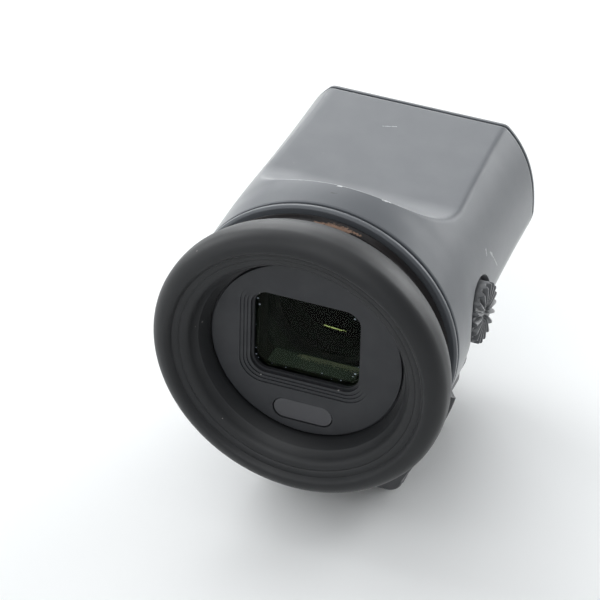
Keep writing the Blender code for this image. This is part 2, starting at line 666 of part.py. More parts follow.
def build_housing(plastic, parent):
    """Shell of the head: neck, round shoulder, scooped flat top, dial pocket with its inner boss."""
    far = 2 * CUT_OVERRUN
    high = AXIS_HEIGHT + SHOULDER_RADIUS + far
    shell = place(housing_form(0, HOUSING_Y, HOUSING_END_Y, BELLY_Z, high), "body_shell", plastic, parent)
    cut(shell, scoop_tool(0))
    room = place(housing_form(HOUSING_WALL, HOUSING_Y + HOUSING_WALL, HOUSING_END_Y + far,
                              BELLY_Z - far, high), "room")
    cut(room, scoop_tool(HOUSING_WALL))
    room_mesh = bmesh.new()
    room_mesh.from_mesh(room.data)
    bpy.data.objects.remove(room, do_unlink=True)
    cut(shell, room_mesh)
    join(shell, rod(SLEEVE_RADIUS, SLEEVE_Y, HOUSING_Y + SEAM_GAP, AXIS_POINT, "Y", ROUND_STEPS))
    cut(shell, rod(SLEEVE_BORE, SLEEVE_Y - CUT_OVERRUN, HOUSING_Y + HOUSING_WALL + CUT_OVERRUN,
                   AXIS_POINT, "Y", ROUND_STEPS))
    boss_inner = lug_reach() + SEAM_GAP + CRANK_THICKNESS + SEAM_GAP
    boss_outer = pocket_floor() + INSET_GAP
    join(shell, rod(BOSS_RADIUS, boss_inner, boss_outer, DIAL_POINT, "X", MEDIUM_STEPS))
    cut(shell, rod(DIAL_RADIUS + POCKET_GAP, pocket_floor(), dial_wall() + CUT_OVERRUN, DIAL_POINT, "X",
                   MEDIUM_STEPS))
    cut(shell, rod(SHAFT_RADIUS + RUNNING_GAP, boss_inner - CUT_OVERRUN, dial_wall(), DIAL_POINT, "X"))


def build_end_plate(plastic, parent):
    """Cover of the far end, with a plug that locates it in the shell."""
    plate_y = HOUSING_END_Y + SEAM_GAP
    lowest = BELLY_Z
    rings = [housing_ring(plate_y, 0, lowest, FLAT_Z),
             housing_ring(plate_y + END_PLATE_THICKNESS, 0, lowest, FLAT_Z)]
    plate = place(loft(rings), "end_plate", plastic, parent)
    inset = HOUSING_WALL + SEAM_GAP
    plug_low = BELLY_Z + BELLY_THICKNESS + SEAM_GAP
    plug_high = FLAT_Z - inset
    rings = [housing_ring(HOUSING_END_Y - END_PLUG_DEPTH, inset, plug_low, plug_high),
             housing_ring(plate_y + END_PLATE_THICKNESS / 2, inset, plug_low, plug_high)]
    join(plate, loft(rings))


def build_belly(plastic, parent):
    """Bottom cover of the head, let into the shell's open belly."""
    inset = HOUSING_WALL + SEAM_GAP
    start_y = HOUSING_Y + HOUSING_WALL + SEAM_GAP
    stations = housing_stations(start_y, HOUSING_END_Y)
    right = [(keel_half_width(along, inset, BELLY_DROP), along) for along in stations]
    left = [(-across, along) for across, along in reversed(right)]
    belly = place(extruded(right + left, BELLY_Z, BELLY_Z + BELLY_THICKNESS, "Z"), "belly_cover",
                  plastic, parent)
    for place_x, place_y in bracket_screw_places():
        centre = Vector((place_x, place_y, 0))
        cut(belly, rod(SCREW_RADIUS + SEAM_GAP, BELLY_Z - CUT_OVERRUN,
                       BELLY_Z + BELLY_THICKNESS + CUT_OVERRUN, centre, "Z"))


def bracket_screw_places():
    row_y = HINGE_Y - (KNUCKLE_RADIUS + BRACKET_REACH) / 2
    return [(side * BRACKET_SCREW_SPACING / 2, row_y) for side in (-1, 1)]


def build_bracket(metal, parent):
    """Hinge bracket: plate under the belly with the knuckle that turns between the base's ears."""
    half = KNUCKLE_WIDTH / 2
    bracket = place(box((-half, HINGE_Y - BRACKET_REACH, BRACKET_BOTTOM_Z),
                        (half, HINGE_Y + KNUCKLE_RADIUS, BRACKET_TOP_Z)), "hinge_bracket", metal, parent)
    join(bracket, rod(KNUCKLE_RADIUS, -half, half, HINGE_POINT, "X", MEDIUM_STEPS))
    bore = HINGE_PIN_RADIUS + RUNNING_GAP
    for side in (-1, 1):
        inner = side * (half - HINGE_PIN_DEPTH - SEAM_GAP)
        outer = side * (half + CUT_OVERRUN)
        cut(bracket, rod(bore, min(inner, outer), max(inner, outer), HINGE_POINT, "X"))
    for place_x, place_y in bracket_screw_places():
        centre = Vector((place_x, place_y, 0))
        cut(bracket, rod(SCREW_RADIUS + SEAM_GAP, BRACKET_BOTTOM_Z - CUT_OVERRUN,
                         BRACKET_TOP_Z + CUT_OVERRUN, centre, "Z"))
        seat_z = BRACKET_BOTTOM_Z + SCREW_HEAD_THICKNESS + INSET_GAP
        cut(bracket, rod(SCREW_HEAD_RADIUS + SEAM_GAP, BRACKET_BOTTOM_Z - CUT_OVERRUN, seat_z, centre, "Z"))


def build_screw(name, centre, head_z, length, metal, parent):
    """Cheese-head screw that points up, with a slot across the underside of its head."""
    top_z = head_z + SCREW_HEAD_THICKNESS
    profile = [(SCREW_HEAD_RADIUS, head_z), (SCREW_HEAD_RADIUS, top_z), (SCREW_RADIUS, top_z),
               (SCREW_RADIUS, top_z + length)]
    screw = place(turned_solid(profile, SMALL_STEPS, centre, "Z"), name, metal, parent)
    half_slot = SCREW_SLOT_WIDTH / 2
    reach = SCREW_HEAD_RADIUS + CUT_OVERRUN
    cut(screw, box((centre.x - half_slot, centre.y - reach, head_z - CUT_OVERRUN),
                   (centre.x + half_slot, centre.y + reach, head_z + SCREW_SLOT_DEPTH)))


def lug_half_travel():
    return ECCENTRIC * math.sin(math.radians(DIAL_SWING_DEGREES))


def lug_bottom_z():
    lowest_pin = ECCENTRIC * math.cos(math.radians(DIAL_SWING_DEGREES))
    return AXIS_HEIGHT + lowest_pin - PIN_RADIUS - SEAM_GAP - LUG_MARGIN


def lug_top_z():
    return AXIS_HEIGHT + ECCENTRIC + PIN_RADIUS + SEAM_GAP + LUG_MARGIN


def build_lens_tube(plastic, parent):
    """Fixed tube that guides the lens carrier, with a side slot for the drive lug."""
    outer = TUBE_BORE + TUBE_WALL
    flange = SLEEVE_BORE - SEAM_GAP
    profile = [(TUBE_BORE, TUBE_Y), (flange, TUBE_Y), (flange, TUBE_Y + TUBE_FLANGE_THICKNESS),
               (outer, TUBE_Y + TUBE_FLANGE_THICKNESS), (outer, TUBE_END_Y), (TUBE_BORE, TUBE_END_Y)]
    tube = place(turned_ring(profile), "lens_tube", plastic, parent)
    half_slot = LUG_WIDTH / 2 + lug_half_travel() + SEAM_GAP
    cut(tube, box((0, DIAL_Y - half_slot, lug_bottom_z() - SEAM_GAP),
                  (outer + CUT_OVERRUN, DIAL_Y + half_slot, lug_top_z() + SEAM_GAP)))


def lens_profile(radius, edge_y, edge, crown):
    """Outline of a biconvex lens from its near pole to its far pole."""
    steps = CORNER_STEPS
    near = []
    far = []
    for step in range(1, steps + 1):
        share = step / steps
        sag = crown * (1 - share * share)
        near.append((radius * share, edge_y - sag))
        far.append((radius * share, edge_y + edge + sag))
    return near + far[::-1]


def build_lens_carrier(plastic, glass, metal, parent):
    """Sliding barrel with its drive lug, the two lenses and the ring that holds the rear lens."""
    outer = TUBE_BORE - RUNNING_GAP
    bore = outer - CARRIER_WALL
    end_y = CARRIER_Y + CARRIER_LENGTH
    shoulder_y = CARRIER_Y + SHOULDER_DEPTH
    shoulder_end_y = shoulder_y + SHOULDER_THICKNESS
    profile = [(bore, CARRIER_Y), (outer, CARRIER_Y), (outer, end_y), (bore, end_y),
               (bore, shoulder_end_y), (bore - SHOULDER_WIDTH, shoulder_end_y),
               (bore - SHOULDER_WIDTH, shoulder_y), (bore, shoulder_y)]
    carrier = place(turned_ring(profile), "lens_carrier", plastic, parent)
    half_width = LUG_WIDTH / 2
    join(carrier, box((outer - CARRIER_WALL / 2, DIAL_Y - half_width, lug_bottom_z()),
                      (lug_reach(), DIAL_Y + half_width, lug_top_z())))
    half_slot = PIN_RADIUS + PIN_PLAY
    slot_inner = lug_reach() - PIN_REACH - SEAM_GAP
    cut(carrier, box((slot_inner, DIAL_Y - half_slot, lug_bottom_z() + LUG_MARGIN),
                     (lug_reach() + CUT_OVERRUN, DIAL_Y + half_slot, lug_top_z() - LUG_MARGIN)))
    lens_radius = bore - RUNNING_GAP
    eye_y = shoulder_y - SEAM_GAP - EYE_LENS_EDGE
    profile = lens_profile(lens_radius, eye_y, EYE_LENS_EDGE, EYE_LENS_CROWN)
    place(turned_solid(profile, MEDIUM_STEPS), "eye_lens", glass, parent)
    field_y = shoulder_end_y + SEAM_GAP
    profile = lens_profile(lens_radius, field_y, FIELD_LENS_EDGE, FIELD_LENS_CROWN)
    place(turned_solid(profile, MEDIUM_STEPS), "field_lens", glass, parent)
    retainer_end_y = eye_y - SEAM_GAP
    place(washer(lens_radius, bore - SHOULDER_WIDTH, retainer_end_y - RETAINER_LENGTH, retainer_end_y,
                 AXIS_POINT, "Y", MEDIUM_STEPS), "lens_retainer", metal, parent)


def build_dial(plastic, metal, parent, head):
    """Ribbed dioptre dial, the shaft with its eccentric pin, and the friction washer under the dial."""
    floor = pocket_floor()
    washer_x = floor + INSET_GAP
    base_x = washer_x + WASHER_THICKNESS + INSET_GAP
    face_x = dial_wall() + DIAL_PROUD - DIAL_RIB_HEIGHT
    place(washer(WASHER_RADIUS, SHAFT_RADIUS + RUNNING_GAP, washer_x, washer_x + WASHER_THICKNESS,
                 DIAL_POINT, "X"), "dial_washer", metal, head)
    rings = []
    rib_top = face_x + DIAL_RIB_HEIGHT
    heights = (face_x, rib_top, rib_top, face_x)
    rows = ((DIAL_RADIUS, base_x, False), (DIAL_RADIUS, face_x - DIAL_EDGE, False),
            (DIAL_RADIUS - DIAL_EDGE, face_x, True), (DIAL_HUB_RADIUS, face_x, True),
            (DIAL_HUB_RADIUS - DIAL_EDGE, face_x, False))
    for radius, along, ribbed in rows:
        ring = []
        for step in range(DIAL_RIBS * len(heights)):
            angle = math.tau * step / (DIAL_RIBS * len(heights))
            height = heights[step % len(heights)] if ribbed else along
            ring.append((height, DIAL_Y + radius * math.cos(angle), AXIS_HEIGHT + radius * math.sin(angle)))
        rings.append(ring)
    dial = place(loft(rings), "dioptre_dial", plastic, parent)
    shaft_end = face_x - DIAL_EDGE - SEAM_GAP
    cut(dial, rod(SHAFT_RADIUS + RUNNING_GAP, base_x - CUT_OVERRUN, shaft_end + INSET_GAP, DIAL_POINT, "X"))
    crank_x = lug_reach() + SEAM_GAP
    profile = [(CRANK_RADIUS, crank_x), (CRANK_RADIUS, crank_x + CRANK_THICKNESS),
               (SHAFT_RADIUS, crank_x + CRANK_THICKNESS), (SHAFT_RADIUS, shaft_end)]
    shaft = place(turned_solid(profile, SMALL_STEPS, DIAL_POINT, "X"), "dial_shaft", metal, parent)
    pin_centre = DIAL_POINT + Vector((0, 0, ECCENTRIC))
    join(shaft, rod(PIN_RADIUS, lug_reach() - PIN_REACH, crank_x + CRANK_THICKNESS / 2, pin_centre, "X"))


def build_display(panel_material, metal, board, flex, parent):
    """Display panel in its metal frame, driver board on four posts, and the flat cable between them."""
    width = DISPLAY_WIDTH + 2 * DISPLAY_RIM
    height = DISPLAY_HEIGHT + 2 * DISPLAY_RIM
    centre = (0, AXIS_HEIGHT)
    frame = place(extruded(rounded_rectangle(centre, width, height, DISPLAY_RIM / 2), DISPLAY_FRAME_Y,
                           DISPLAY_FRAME_END_Y, "Y"), "display_frame", metal, parent)
    outline = rounded_rectangle(centre, DISPLAY_WIDTH + 2 * SEAM_GAP, DISPLAY_HEIGHT + 2 * SEAM_GAP, SEAM_GAP)
    cut(frame, extruded(outline, DISPLAY_FRAME_Y - CUT_OVERRUN, DISPLAY_FRAME_END_Y - FRAME_BACK, "Y"))
    for side_x in (-1, 1):
        for side_z in (-1, 1):
            middle = Vector((side_x * (width / 2 - 2 * POST_RADIUS), 0,
                             AXIS_HEIGHT + side_z * (height / 2 - 2 * POST_RADIUS)))
            join(frame, rod(POST_RADIUS, DISPLAY_FRAME_END_Y - FRAME_BACK / 2,
                            DISPLAY_FRAME_END_Y + POST_LENGTH, middle, "Y"))
    outline = rounded_rectangle(centre, DISPLAY_WIDTH, DISPLAY_HEIGHT, SEAM_GAP)
    place(extruded(outline, DISPLAY_Y, DISPLAY_Y + DISPLAY_THICKNESS, "Y"), "display_panel",
          panel_material, parent)
    outline = rounded_rectangle(centre, width, height, DISPLAY_RIM / 2)
    main = place(extruded(outline, BOARD_Y, BOARD_Y + BOARD_THICKNESS, "Y"), "main_board", board, parent)
    join(main, box((-CHIP_WIDTH / 2, BOARD_Y + BOARD_THICKNESS / 2, AXIS_HEIGHT - CHIP_HEIGHT / 2),
                   (CHIP_WIDTH / 2, BOARD_Y + BOARD_THICKNESS + CHIP_THICKNESS,
                    AXIS_HEIGHT + CHIP_HEIGHT / 2)))
    near_y = DISPLAY_FRAME_Y - SEAM_GAP - FLEX_THICKNESS
    far_y = BOARD_Y - SEAM_GAP
    low_z = AXIS_HEIGHT - height / 2 - SEAM_GAP - FLEX_THICKNESS
    high_z = low_z + FLEX_TAIL
    outer = rounded_rectangle(((near_y + far_y) / 2, low_z + FLEX_TAIL), far_y - near_y, 2 * FLEX_TAIL, FLEX_BEND)
    inner = rounded_rectangle(((near_y + far_y) / 2, low_z + FLEX_TAIL), far_y - near_y - 2 * FLEX_THICKNESS,
                              2 * (FLEX_TAIL - FLEX_THICKNESS), FLEX_BEND - FLEX_THICKNESS)
    strip = place(extruded(outer, -FLEX_WIDTH / 2, FLEX_WIDTH / 2, "X"), "flex_cable", flex, parent)
    cut(strip, extruded(inner, -FLEX_WIDTH, FLEX_WIDTH, "X"))
    cut(strip, box((-FLEX_WIDTH, near_y - CUT_OVERRUN, high_z), (FLEX_WIDTH, far_y + CUT_OVERRUN,
                                                                 high_z + FLEX_TAIL + CUT_OVERRUN)))


def cradle_ring(along, narrow_share, drop_share, inset):
    """Section of the cradle: flat bottom with round corners, bulging sides, open upper edges."""
    foot = blend(CRADLE_FOOT_HALF_WIDTH, CRADLE_FAR_HALF_WIDTH, narrow_share) - inset
    bulge = blend(CRADLE_BULGE_HALF_WIDTH, CRADLE_FAR_HALF_WIDTH, narrow_share) - inset
    top = blend(CRADLE_TOP_HALF_WIDTH, CRADLE_FAR_HALF_WIDTH, narrow_share) - inset
    top_z = AXIS_HEIGHT - blend(CRADLE_TOP_DROP, BELLY_DROP + CRADLE_GAP, drop_share)
    bulge_z = AXIS_HEIGHT - blend(CRADLE_BULGE_DROP, (BASE_DROP + BELLY_DROP) / 2, narrow_share)
    bottom_z = BASE_Z + inset
    side = []
    for step in range(CORNER_STEPS + 1):
        angle = math.pi / 2 * step / CORNER_STEPS
        side.append((foot - CRADLE_CORNER * (1 - math.sin(angle)),
                     bottom_z + CRADLE_CORNER * (1 - math.cos(angle))))
    start = side[-1]
    control = (2 * bulge - (start[0] + top) / 2, 2 * bulge_z - (start[1] + top_z) / 2)
    for step in range(1, CRADLE_SIDE_STEPS + 1):
        share = step / CRADLE_SIDE_STEPS
        rest = 1 - share
        side.append((rest * rest * start[0] + 2 * rest * share * control[0] + share * share * top,
                     rest * rest * start[1] + 2 * rest * share * control[1] + share * share * top_z))
    ring = [(across, along, up) for across, up in side]
    ring += [(-across, along, up) for across, up in reversed(side)]
    return ring


def foot_screw_places():
    return [(side_x * FOOT_SCREW_SPACING_X / 2, side_y * FOOT_SCREW_SPACING_Y / 2)
            for side_x in (-1, 1) for side_y in (-1, 1)]


def ear_outline():
    """Side view of a hinge ear: straight legs under a round head on the hinge axis."""
    outline = [(HINGE_Y + EAR_RADIUS, BASE_Z)]
    for step in range(EAR_STEPS + 1):
        angle = math.pi / 2 * step / EAR_STEPS
        outline.append((HINGE_Y + EAR_RADIUS * math.cos(angle), HINGE_Z + EAR_RADIUS * math.sin(angle)))
    root_y = CRADLE_END_Y - EAR_LAP
    return outline + [(root_y, HINGE_Z + EAR_RADIUS), (root_y, BASE_Z)]


def build_cradle(plastic):
    """Lower housing: cradle for the head, room for the connector board, ears of the hinge."""
    length = CRADLE_END_Y - CRADLE_Y
    rings = [cradle_ring(CRADLE_Y, 0, 0, CRADLE_EDGE)]
    for depth_share, narrow_share, drop_share in CRADLE_SHARES:
        along = max(CRADLE_Y + length * depth_share, CRADLE_Y + CRADLE_EDGE)
        rings.append(cradle_ring(along, narrow_share, drop_share, 0))
    cradle = place(loft(rings), "base_cradle", plastic)
    far = 2 * CUT_OVERRUN
    cut(cradle, housing_form(-CRADLE_GAP, CRADLE_Y - far, HOUSING_END_Y, BELLY_Z - CRADLE_GAP,
                             AXIS_HEIGHT + SHOULDER_RADIUS + far))
    ear_inner = KNUCKLE_WIDTH / 2 + 2 * INSET_GAP + WASHER_THICKNESS
    for side in (-1, 1):
        inner = side * ear_inner
        outer = side * (ear_inner + EAR_THICKNESS)
        join(cradle, extruded(ear_outline(), min(inner, outer), max(inner, outer), "X"))
        head_inner = side * (ear_inner + EAR_THICKNESS - HINGE_HEAD_THICKNESS - INSET_GAP)
        beyond = side * (ear_inner + EAR_THICKNESS + CUT_OVERRUN)
        inside = side * (ear_inner - WASHER_THICKNESS)
        cut(cradle, rod(HINGE_PIN_RADIUS + RUNNING_GAP, min(inside, beyond), max(inside, beyond),
                        HINGE_POINT, "X"))
        cut(cradle, rod(HINGE_HEAD_RADIUS + INSET_GAP, min(head_inner, beyond), max(head_inner, beyond),
                        HINGE_POINT, "X"))
    cut(cradle, box((-BASE_ROOM_HALF_WIDTH, -BASE_ROOM_REAR, BASE_Z - CUT_OVERRUN),
                    (BASE_ROOM_HALF_WIDTH, BASE_ROOM_FRONT, ROOF_Z)))
    lap = BASE_COVER_LAP
    cut(cradle, box((-BASE_ROOM_HALF_WIDTH - lap, -BASE_ROOM_REAR - lap, BASE_Z - CUT_OVERRUN),
                    (BASE_ROOM_HALF_WIDTH + lap, BASE_ROOM_FRONT + lap, COVER_TOP_Z + SEAM_GAP)))
    screw_top = screw_head_z() + SCREW_HEAD_THICKNESS + FOOT_SCREW_LENGTH + SEAM_GAP
    for place_x, place_y in foot_screw_places():
        centre = Vector((place_x, place_y, 0))
        join(cradle, rod(SCREW_BOSS_RADIUS, COVER_TOP_Z + SEAM_GAP, ROOF_Z + BASE_ROOF / 2, centre, "Z"))
        cut(cradle, rod(SCREW_RADIUS + SEAM_GAP, BASE_Z - CUT_OVERRUN, screw_top, centre, "Z"))
    recess = KNUCKLE_WIDTH / 2 + CRADLE_GAP
    cut(cradle, box((-recess, HINGE_Y - BRACKET_REACH - CRADLE_GAP, BRACKET_BOTTOM_Z - CRADLE_GAP),
                    (recess, CRADLE_END_Y + CRADLE_GAP, BELLY_Z)))


def screw_head_z():
    return SEAM_GAP


def build_base_parts(plastic, board, metal):
    """Bottom cover, connector board and hinge pins of the base."""
    lap = BASE_COVER_LAP - SEAM_GAP
    cover = place(box((-BASE_ROOM_HALF_WIDTH - lap, -BASE_ROOM_REAR - lap, BASE_Z),
                      (BASE_ROOM_HALF_WIDTH + lap, BASE_ROOM_FRONT + lap, COVER_TOP_Z)), "base_cover", plastic)
    for place_x, place_y in foot_screw_places():
        centre = Vector((place_x, place_y, 0))
        cut(cover, rod(SCREW_RADIUS + SEAM_GAP, BASE_Z - CUT_OVERRUN, COVER_TOP_Z + CUT_OVERRUN, centre, "Z"))
    half_width = FOOT_SCREW_SPACING_X / 2 - SCREW_BOSS_RADIUS - SEAM_GAP
    connector = box((-half_width, -BASE_ROOM_REAR + SEAM_GAP, COVER_TOP_Z + SEAM_GAP),
                    (half_width, BASE_ROOM_FRONT - SEAM_GAP, COVER_TOP_Z + SEAM_GAP + BASE_BOARD_THICKNESS))
    place(connector, "base_board", board)
    ear_inner = KNUCKLE_WIDTH / 2 + 2 * INSET_GAP + WASHER_THICKNESS
    for name, side in (("left", -1), ("right", 1)):
        washer_inner = side * (KNUCKLE_WIDTH / 2 + INSET_GAP)
        washer_outer = washer_inner + side * WASHER_THICKNESS
        place(washer(HINGE_WASHER_RADIUS, HINGE_PIN_RADIUS + RUNNING_GAP, min(washer_inner, washer_outer),
                     max(washer_inner, washer_outer), HINGE_POINT, "X"), "hinge_washer_" + name, metal)
        outer = side * (ear_inner + EAR_THICKNESS - INSET_GAP)
        neck = outer - side * HINGE_HEAD_THICKNESS
        tip = side * (KNUCKLE_WIDTH / 2 - HINGE_PIN_DEPTH)
        profile = [(HINGE_HEAD_RADIUS, outer), (HINGE_HEAD_RADIUS, neck), (HINGE_PIN_RADIUS, neck),
                   (HINGE_PIN_RADIUS, tip)]
        place(turned_solid(profile, SMALL_STEPS, HINGE_POINT, "X"), "hinge_pin_" + name, metal)


def build_foot(metal, plastic, brass):
    """Accessory foot with its neck and screws, and the contact block let into its underside."""
    centre = (0, 0)
    foot = place(extruded(rounded_rectangle(centre, FOOT_WIDTH, FOOT_LENGTH, FOOT_CORNER), 0,
                          FOOT_THICKNESS, "Z"), "shoe_foot", metal)
    join(foot, extruded(rounded_rectangle(centre, NECK_WIDTH, NECK_LENGTH, FOOT_CORNER),
                        FOOT_THICKNESS / 2, BASE_Z - SEAM_GAP, "Z"))
    seat_z = screw_head_z() + SCREW_HEAD_THICKNESS + SEAM_GAP
    for place_x, place_y in foot_screw_places():
        middle = Vector((place_x, place_y, 0))
        cut(foot, rod(SCREW_RADIUS + SEAM_GAP, -CUT_OVERRUN, BASE_Z + CUT_OVERRUN, middle, "Z"))
        cut(foot, rod(SCREW_HEAD_RADIUS + SEAM_GAP, -CUT_OVERRUN, seat_z, middle, "Z"))
    for number, (place_x, place_y) in enumerate(foot_screw_places(), 1):
        middle = Vector((place_x, place_y, 0))
        build_screw("foot_screw_%d" % number, middle, screw_head_z(), FOOT_SCREW_LENGTH, metal, None)
    block_centre = (0, CONTACT_FORWARD)
    outline = rounded_rectangle(block_centre, CONTACT_WIDTH + 2 * SEAM_GAP, CONTACT_LENGTH + 2 * SEAM_GAP,
                                SEAM_GAP)
    cut(foot, extruded(outline, -CUT_OVERRUN, CONTACT_RECESS + CONTACT_THICKNESS + SEAM_GAP, "Z"))
    outline = rounded_rectangle(block_centre, CONTACT_WIDTH, CONTACT_LENGTH, SEAM_GAP)
    block = place(extruded(outline, CONTACT_RECESS, CONTACT_RECESS + CONTACT_THICKNESS, "Z"),
                  "contact_block", plastic)
    for number in range(CONTACT_PINS):
        place_x = CONTACT_SPACING * (number - (CONTACT_PINS - 1) / 2)
        middle = Vector((place_x, CONTACT_FORWARD, 0))
        cut(block, rod(CONTACT_PIN_RADIUS + INSET_GAP, -CUT_OVERRUN,
                       CONTACT_RECESS + CONTACT_THICKNESS + CUT_OVERRUN, middle, "Z"))
        place(rod(CONTACT_PIN_RADIUS, CONTACT_RECESS, CONTACT_RECESS + CONTACT_THICKNESS, middle, "Z"),
              "contact_pin_%d" % (number + 1), brass)


def main():
    clear_scene()
    rubber = make_material("rubber", (0.030, 0.031, 0.034), 0.60)
    gloss = make_material("gloss_black", (0.010, 0.010, 0.012), 0.15)
    plastic = make_material("matt_black", (0.052, 0.055, 0.060), 0.48)
    inner_black = make_material("inner_black", (0.025, 0.026, 0.028), 0.55)
    coated_glass = make_material("coated_glass", (0.60, 0.72, 0.58), 0.03, 0.0, 0.9)
    clear_glass = make_material("clear_glass", (0.90, 0.94, 0.92), 0.02, 0.0, 0.95)
    sensor_glass = make_material("sensor_glass", (0.035, 0.035, 0.040), 0.20)
    steel = make_material("steel", (0.55, 0.55, 0.56), 0.35, 1.0)
    dark_metal = make_material("dark_metal", (0.10, 0.10, 0.105), 0.40, 1.0)
    brass = make_material("gold_contact", (0.80, 0.62, 0.28), 0.25, 1.0)
    board = make_material("circuit_board", (0.02, 0.12, 0.07), 0.45)
    film = make_material("cable_film", (0.45, 0.25, 0.08), 0.40)
    screen = make_material("screen", (0.015, 0.02, 0.03), 0.12)

    head = pivot("head_pivot", HINGE_POINT)
    build_eyecup(rubber, head)
    build_rings(gloss, plastic, head)
    build_eyepiece(inner_black, coated_glass, sensor_glass, board, head)
    build_housing(plastic, head)
    build_end_plate(plastic, head)
    build_belly(plastic, head)
    build_bracket(dark_metal, head)
    for number, (place_x, place_y) in enumerate(bracket_screw_places(), 1):
        build_screw("bracket_screw_%d" % number, Vector((place_x, place_y, 0)), BRACKET_BOTTOM_Z,
                    BRACKET_SCREW_LENGTH, steel, head)
    build_lens_tube(inner_black, head)
    build_display(screen, dark_metal, board, film, head)

    carrier = pivot("lens_slide", AXIS_POINT + Vector((0, CARRIER_Y, 0)), head)
    build_lens_carrier(inner_black, clear_glass, dark_metal, carrier)
    dial = pivot("dial_pivot", DIAL_POINT, head)
    build_dial(inner_black, steel, dial, head)

    build_cradle(plastic)
    build_base_parts(plastic, board, steel)
    build_foot(dark_metal, inner_black, brass)


main()
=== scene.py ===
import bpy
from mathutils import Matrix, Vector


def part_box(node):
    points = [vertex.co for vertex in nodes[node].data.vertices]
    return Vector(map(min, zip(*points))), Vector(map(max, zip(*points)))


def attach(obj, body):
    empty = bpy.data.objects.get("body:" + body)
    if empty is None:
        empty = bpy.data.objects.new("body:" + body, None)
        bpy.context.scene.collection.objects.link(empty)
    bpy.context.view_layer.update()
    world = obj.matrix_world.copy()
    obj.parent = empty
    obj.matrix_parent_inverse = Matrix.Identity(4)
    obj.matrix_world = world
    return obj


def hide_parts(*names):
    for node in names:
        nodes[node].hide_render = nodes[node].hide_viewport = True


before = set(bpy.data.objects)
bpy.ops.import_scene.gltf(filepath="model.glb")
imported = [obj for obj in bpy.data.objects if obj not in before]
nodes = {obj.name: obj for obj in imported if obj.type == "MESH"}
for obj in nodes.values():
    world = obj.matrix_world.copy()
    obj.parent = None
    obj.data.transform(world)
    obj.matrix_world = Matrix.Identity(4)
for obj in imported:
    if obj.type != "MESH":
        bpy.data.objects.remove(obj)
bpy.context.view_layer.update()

import math

import bmesh
import bpy
from mathutils import Matrix, Vector

# Accessory foot: a milled metal foot with a neck, blackened, that slides into a camera's shoe. Four slotted
# screws hold it to the base, and a moulded block in its underside carries the gold-plated contacts.


def effect(name, numbers, outputs):
    """New node group with number inputs and the outputs named; returns the tree and its two end nodes."""
    tree = bpy.data.node_groups.new(name, "ShaderNodeTree")
    for label, value in numbers:
        socket = tree.interface.new_socket(label, in_out="INPUT", socket_type="NodeSocketFloat")
        socket.default_value = value
    for label in outputs:
        tree.interface.new_socket(label, in_out="OUTPUT", socket_type="NodeSocketFloat")
    return tree, tree.nodes.new("NodeGroupInput"), tree.nodes.new("NodeGroupOutput")


def math_node(tree, operation, first, second, clamp=False):
    """One step of arithmetic on two sockets or numbers; returns its result."""
    node = tree.nodes.new("ShaderNodeMath")
    node.operation = operation
    node.use_clamp = clamp
    for index, value in enumerate((first, second)):
        if value is None:
            continue
        if isinstance(value, (int, float)):
            node.inputs[index].default_value = value
        else:
            tree.links.new(value, node.inputs[index])
    return node.outputs[0]


def noise(tree, scale, detail, rough):
    """Noise over the object's own coordinates in metres, so that the grain keeps its real size."""
    place = tree.nodes.new("ShaderNodeTexCoord").outputs["Object"]
    texture = tree.nodes.new("ShaderNodeTexNoise")
    texture.inputs["Detail"].default_value = detail
    texture.inputs["Roughness"].default_value = rough
    tree.links.new(place, texture.inputs["Vector"])
    if isinstance(scale, (int, float)):
        texture.inputs["Scale"].default_value = scale
    else:
        tree.links.new(scale, texture.inputs["Scale"])
    return texture.outputs["Fac"]


def grain_group():
    """Fine grain: a height for the bump and a slow mottle for colour and gloss."""
    scales = (("Scale", 9000.0), ("Mottle Scale", 350.0))
    tree, given, made = effect("fine_grain", scales, ("Height", "Mottle"))
    fine = noise(tree, given.outputs["Scale"], 3.0, 0.6)
    slow = noise(tree, given.outputs["Mottle Scale"], 3.0, 0.55)
    tree.links.new(fine, made.inputs["Height"])
    tree.links.new(slow, made.inputs["Mottle"])
    return tree


def dust_group():
    """Sparse specks of dust and lint, as a mask: amount from 0 to 1."""
    tree, given, made = effect("dust_specks", (("Scale", 900.0), ("Amount", 0.1)), ("Mask",))
    place = tree.nodes.new("ShaderNodeTexCoord").outputs["Object"]
    cells = tree.nodes.new("ShaderNodeTexVoronoi")
    cells.feature = "F1"
    tree.links.new(place, cells.inputs["Vector"])
    tree.links.new(given.outputs["Scale"], cells.inputs["Scale"])
    pick = tree.nodes.new("ShaderNodeSeparateColor")
    tree.links.new(cells.outputs["Color"], pick.inputs["Color"])
    chosen = math_node(tree, "LESS_THAN", pick.outputs[0], given.outputs["Amount"])
    largest = 0.22              # radius of the largest speck, as a share of their spacing
    size = math_node(tree, "MULTIPLY", pick.outputs[1], largest)
    inside = math_node(tree, "LESS_THAN", cells.outputs["Distance"], size)
    tree.links.new(math_node(tree, "MULTIPLY", chosen, inside), made.inputs["Mask"])
    return tree


grain = grain_group()
dust = dust_group()


def placed(tree, group, **values):
    """One use of a node group in a material, with its own values."""
    node = tree.nodes.new("ShaderNodeGroup")
    node.node_tree = group
    for label, value in values.items():
        node.inputs[label.replace("_", " ")].default_value = value
    return node


def ramp(tree, source, low, high, first, second):
    """Map a value's stretch from low to high onto two colours or two numbers."""
    node = tree.nodes.new("ShaderNodeMapRange")
    node.clamp = True
    node.inputs["From Min"].default_value = low
    node.inputs["From Max"].default_value = high
    tree.links.new(source, node.inputs["Value"])
    if isinstance(first, (int, float)):
        node.inputs["To Min"].default_value = first
        node.inputs["To Max"].default_value = second
        return node.outputs["Result"]
    return mixed(tree, node.outputs["Result"], first, second)


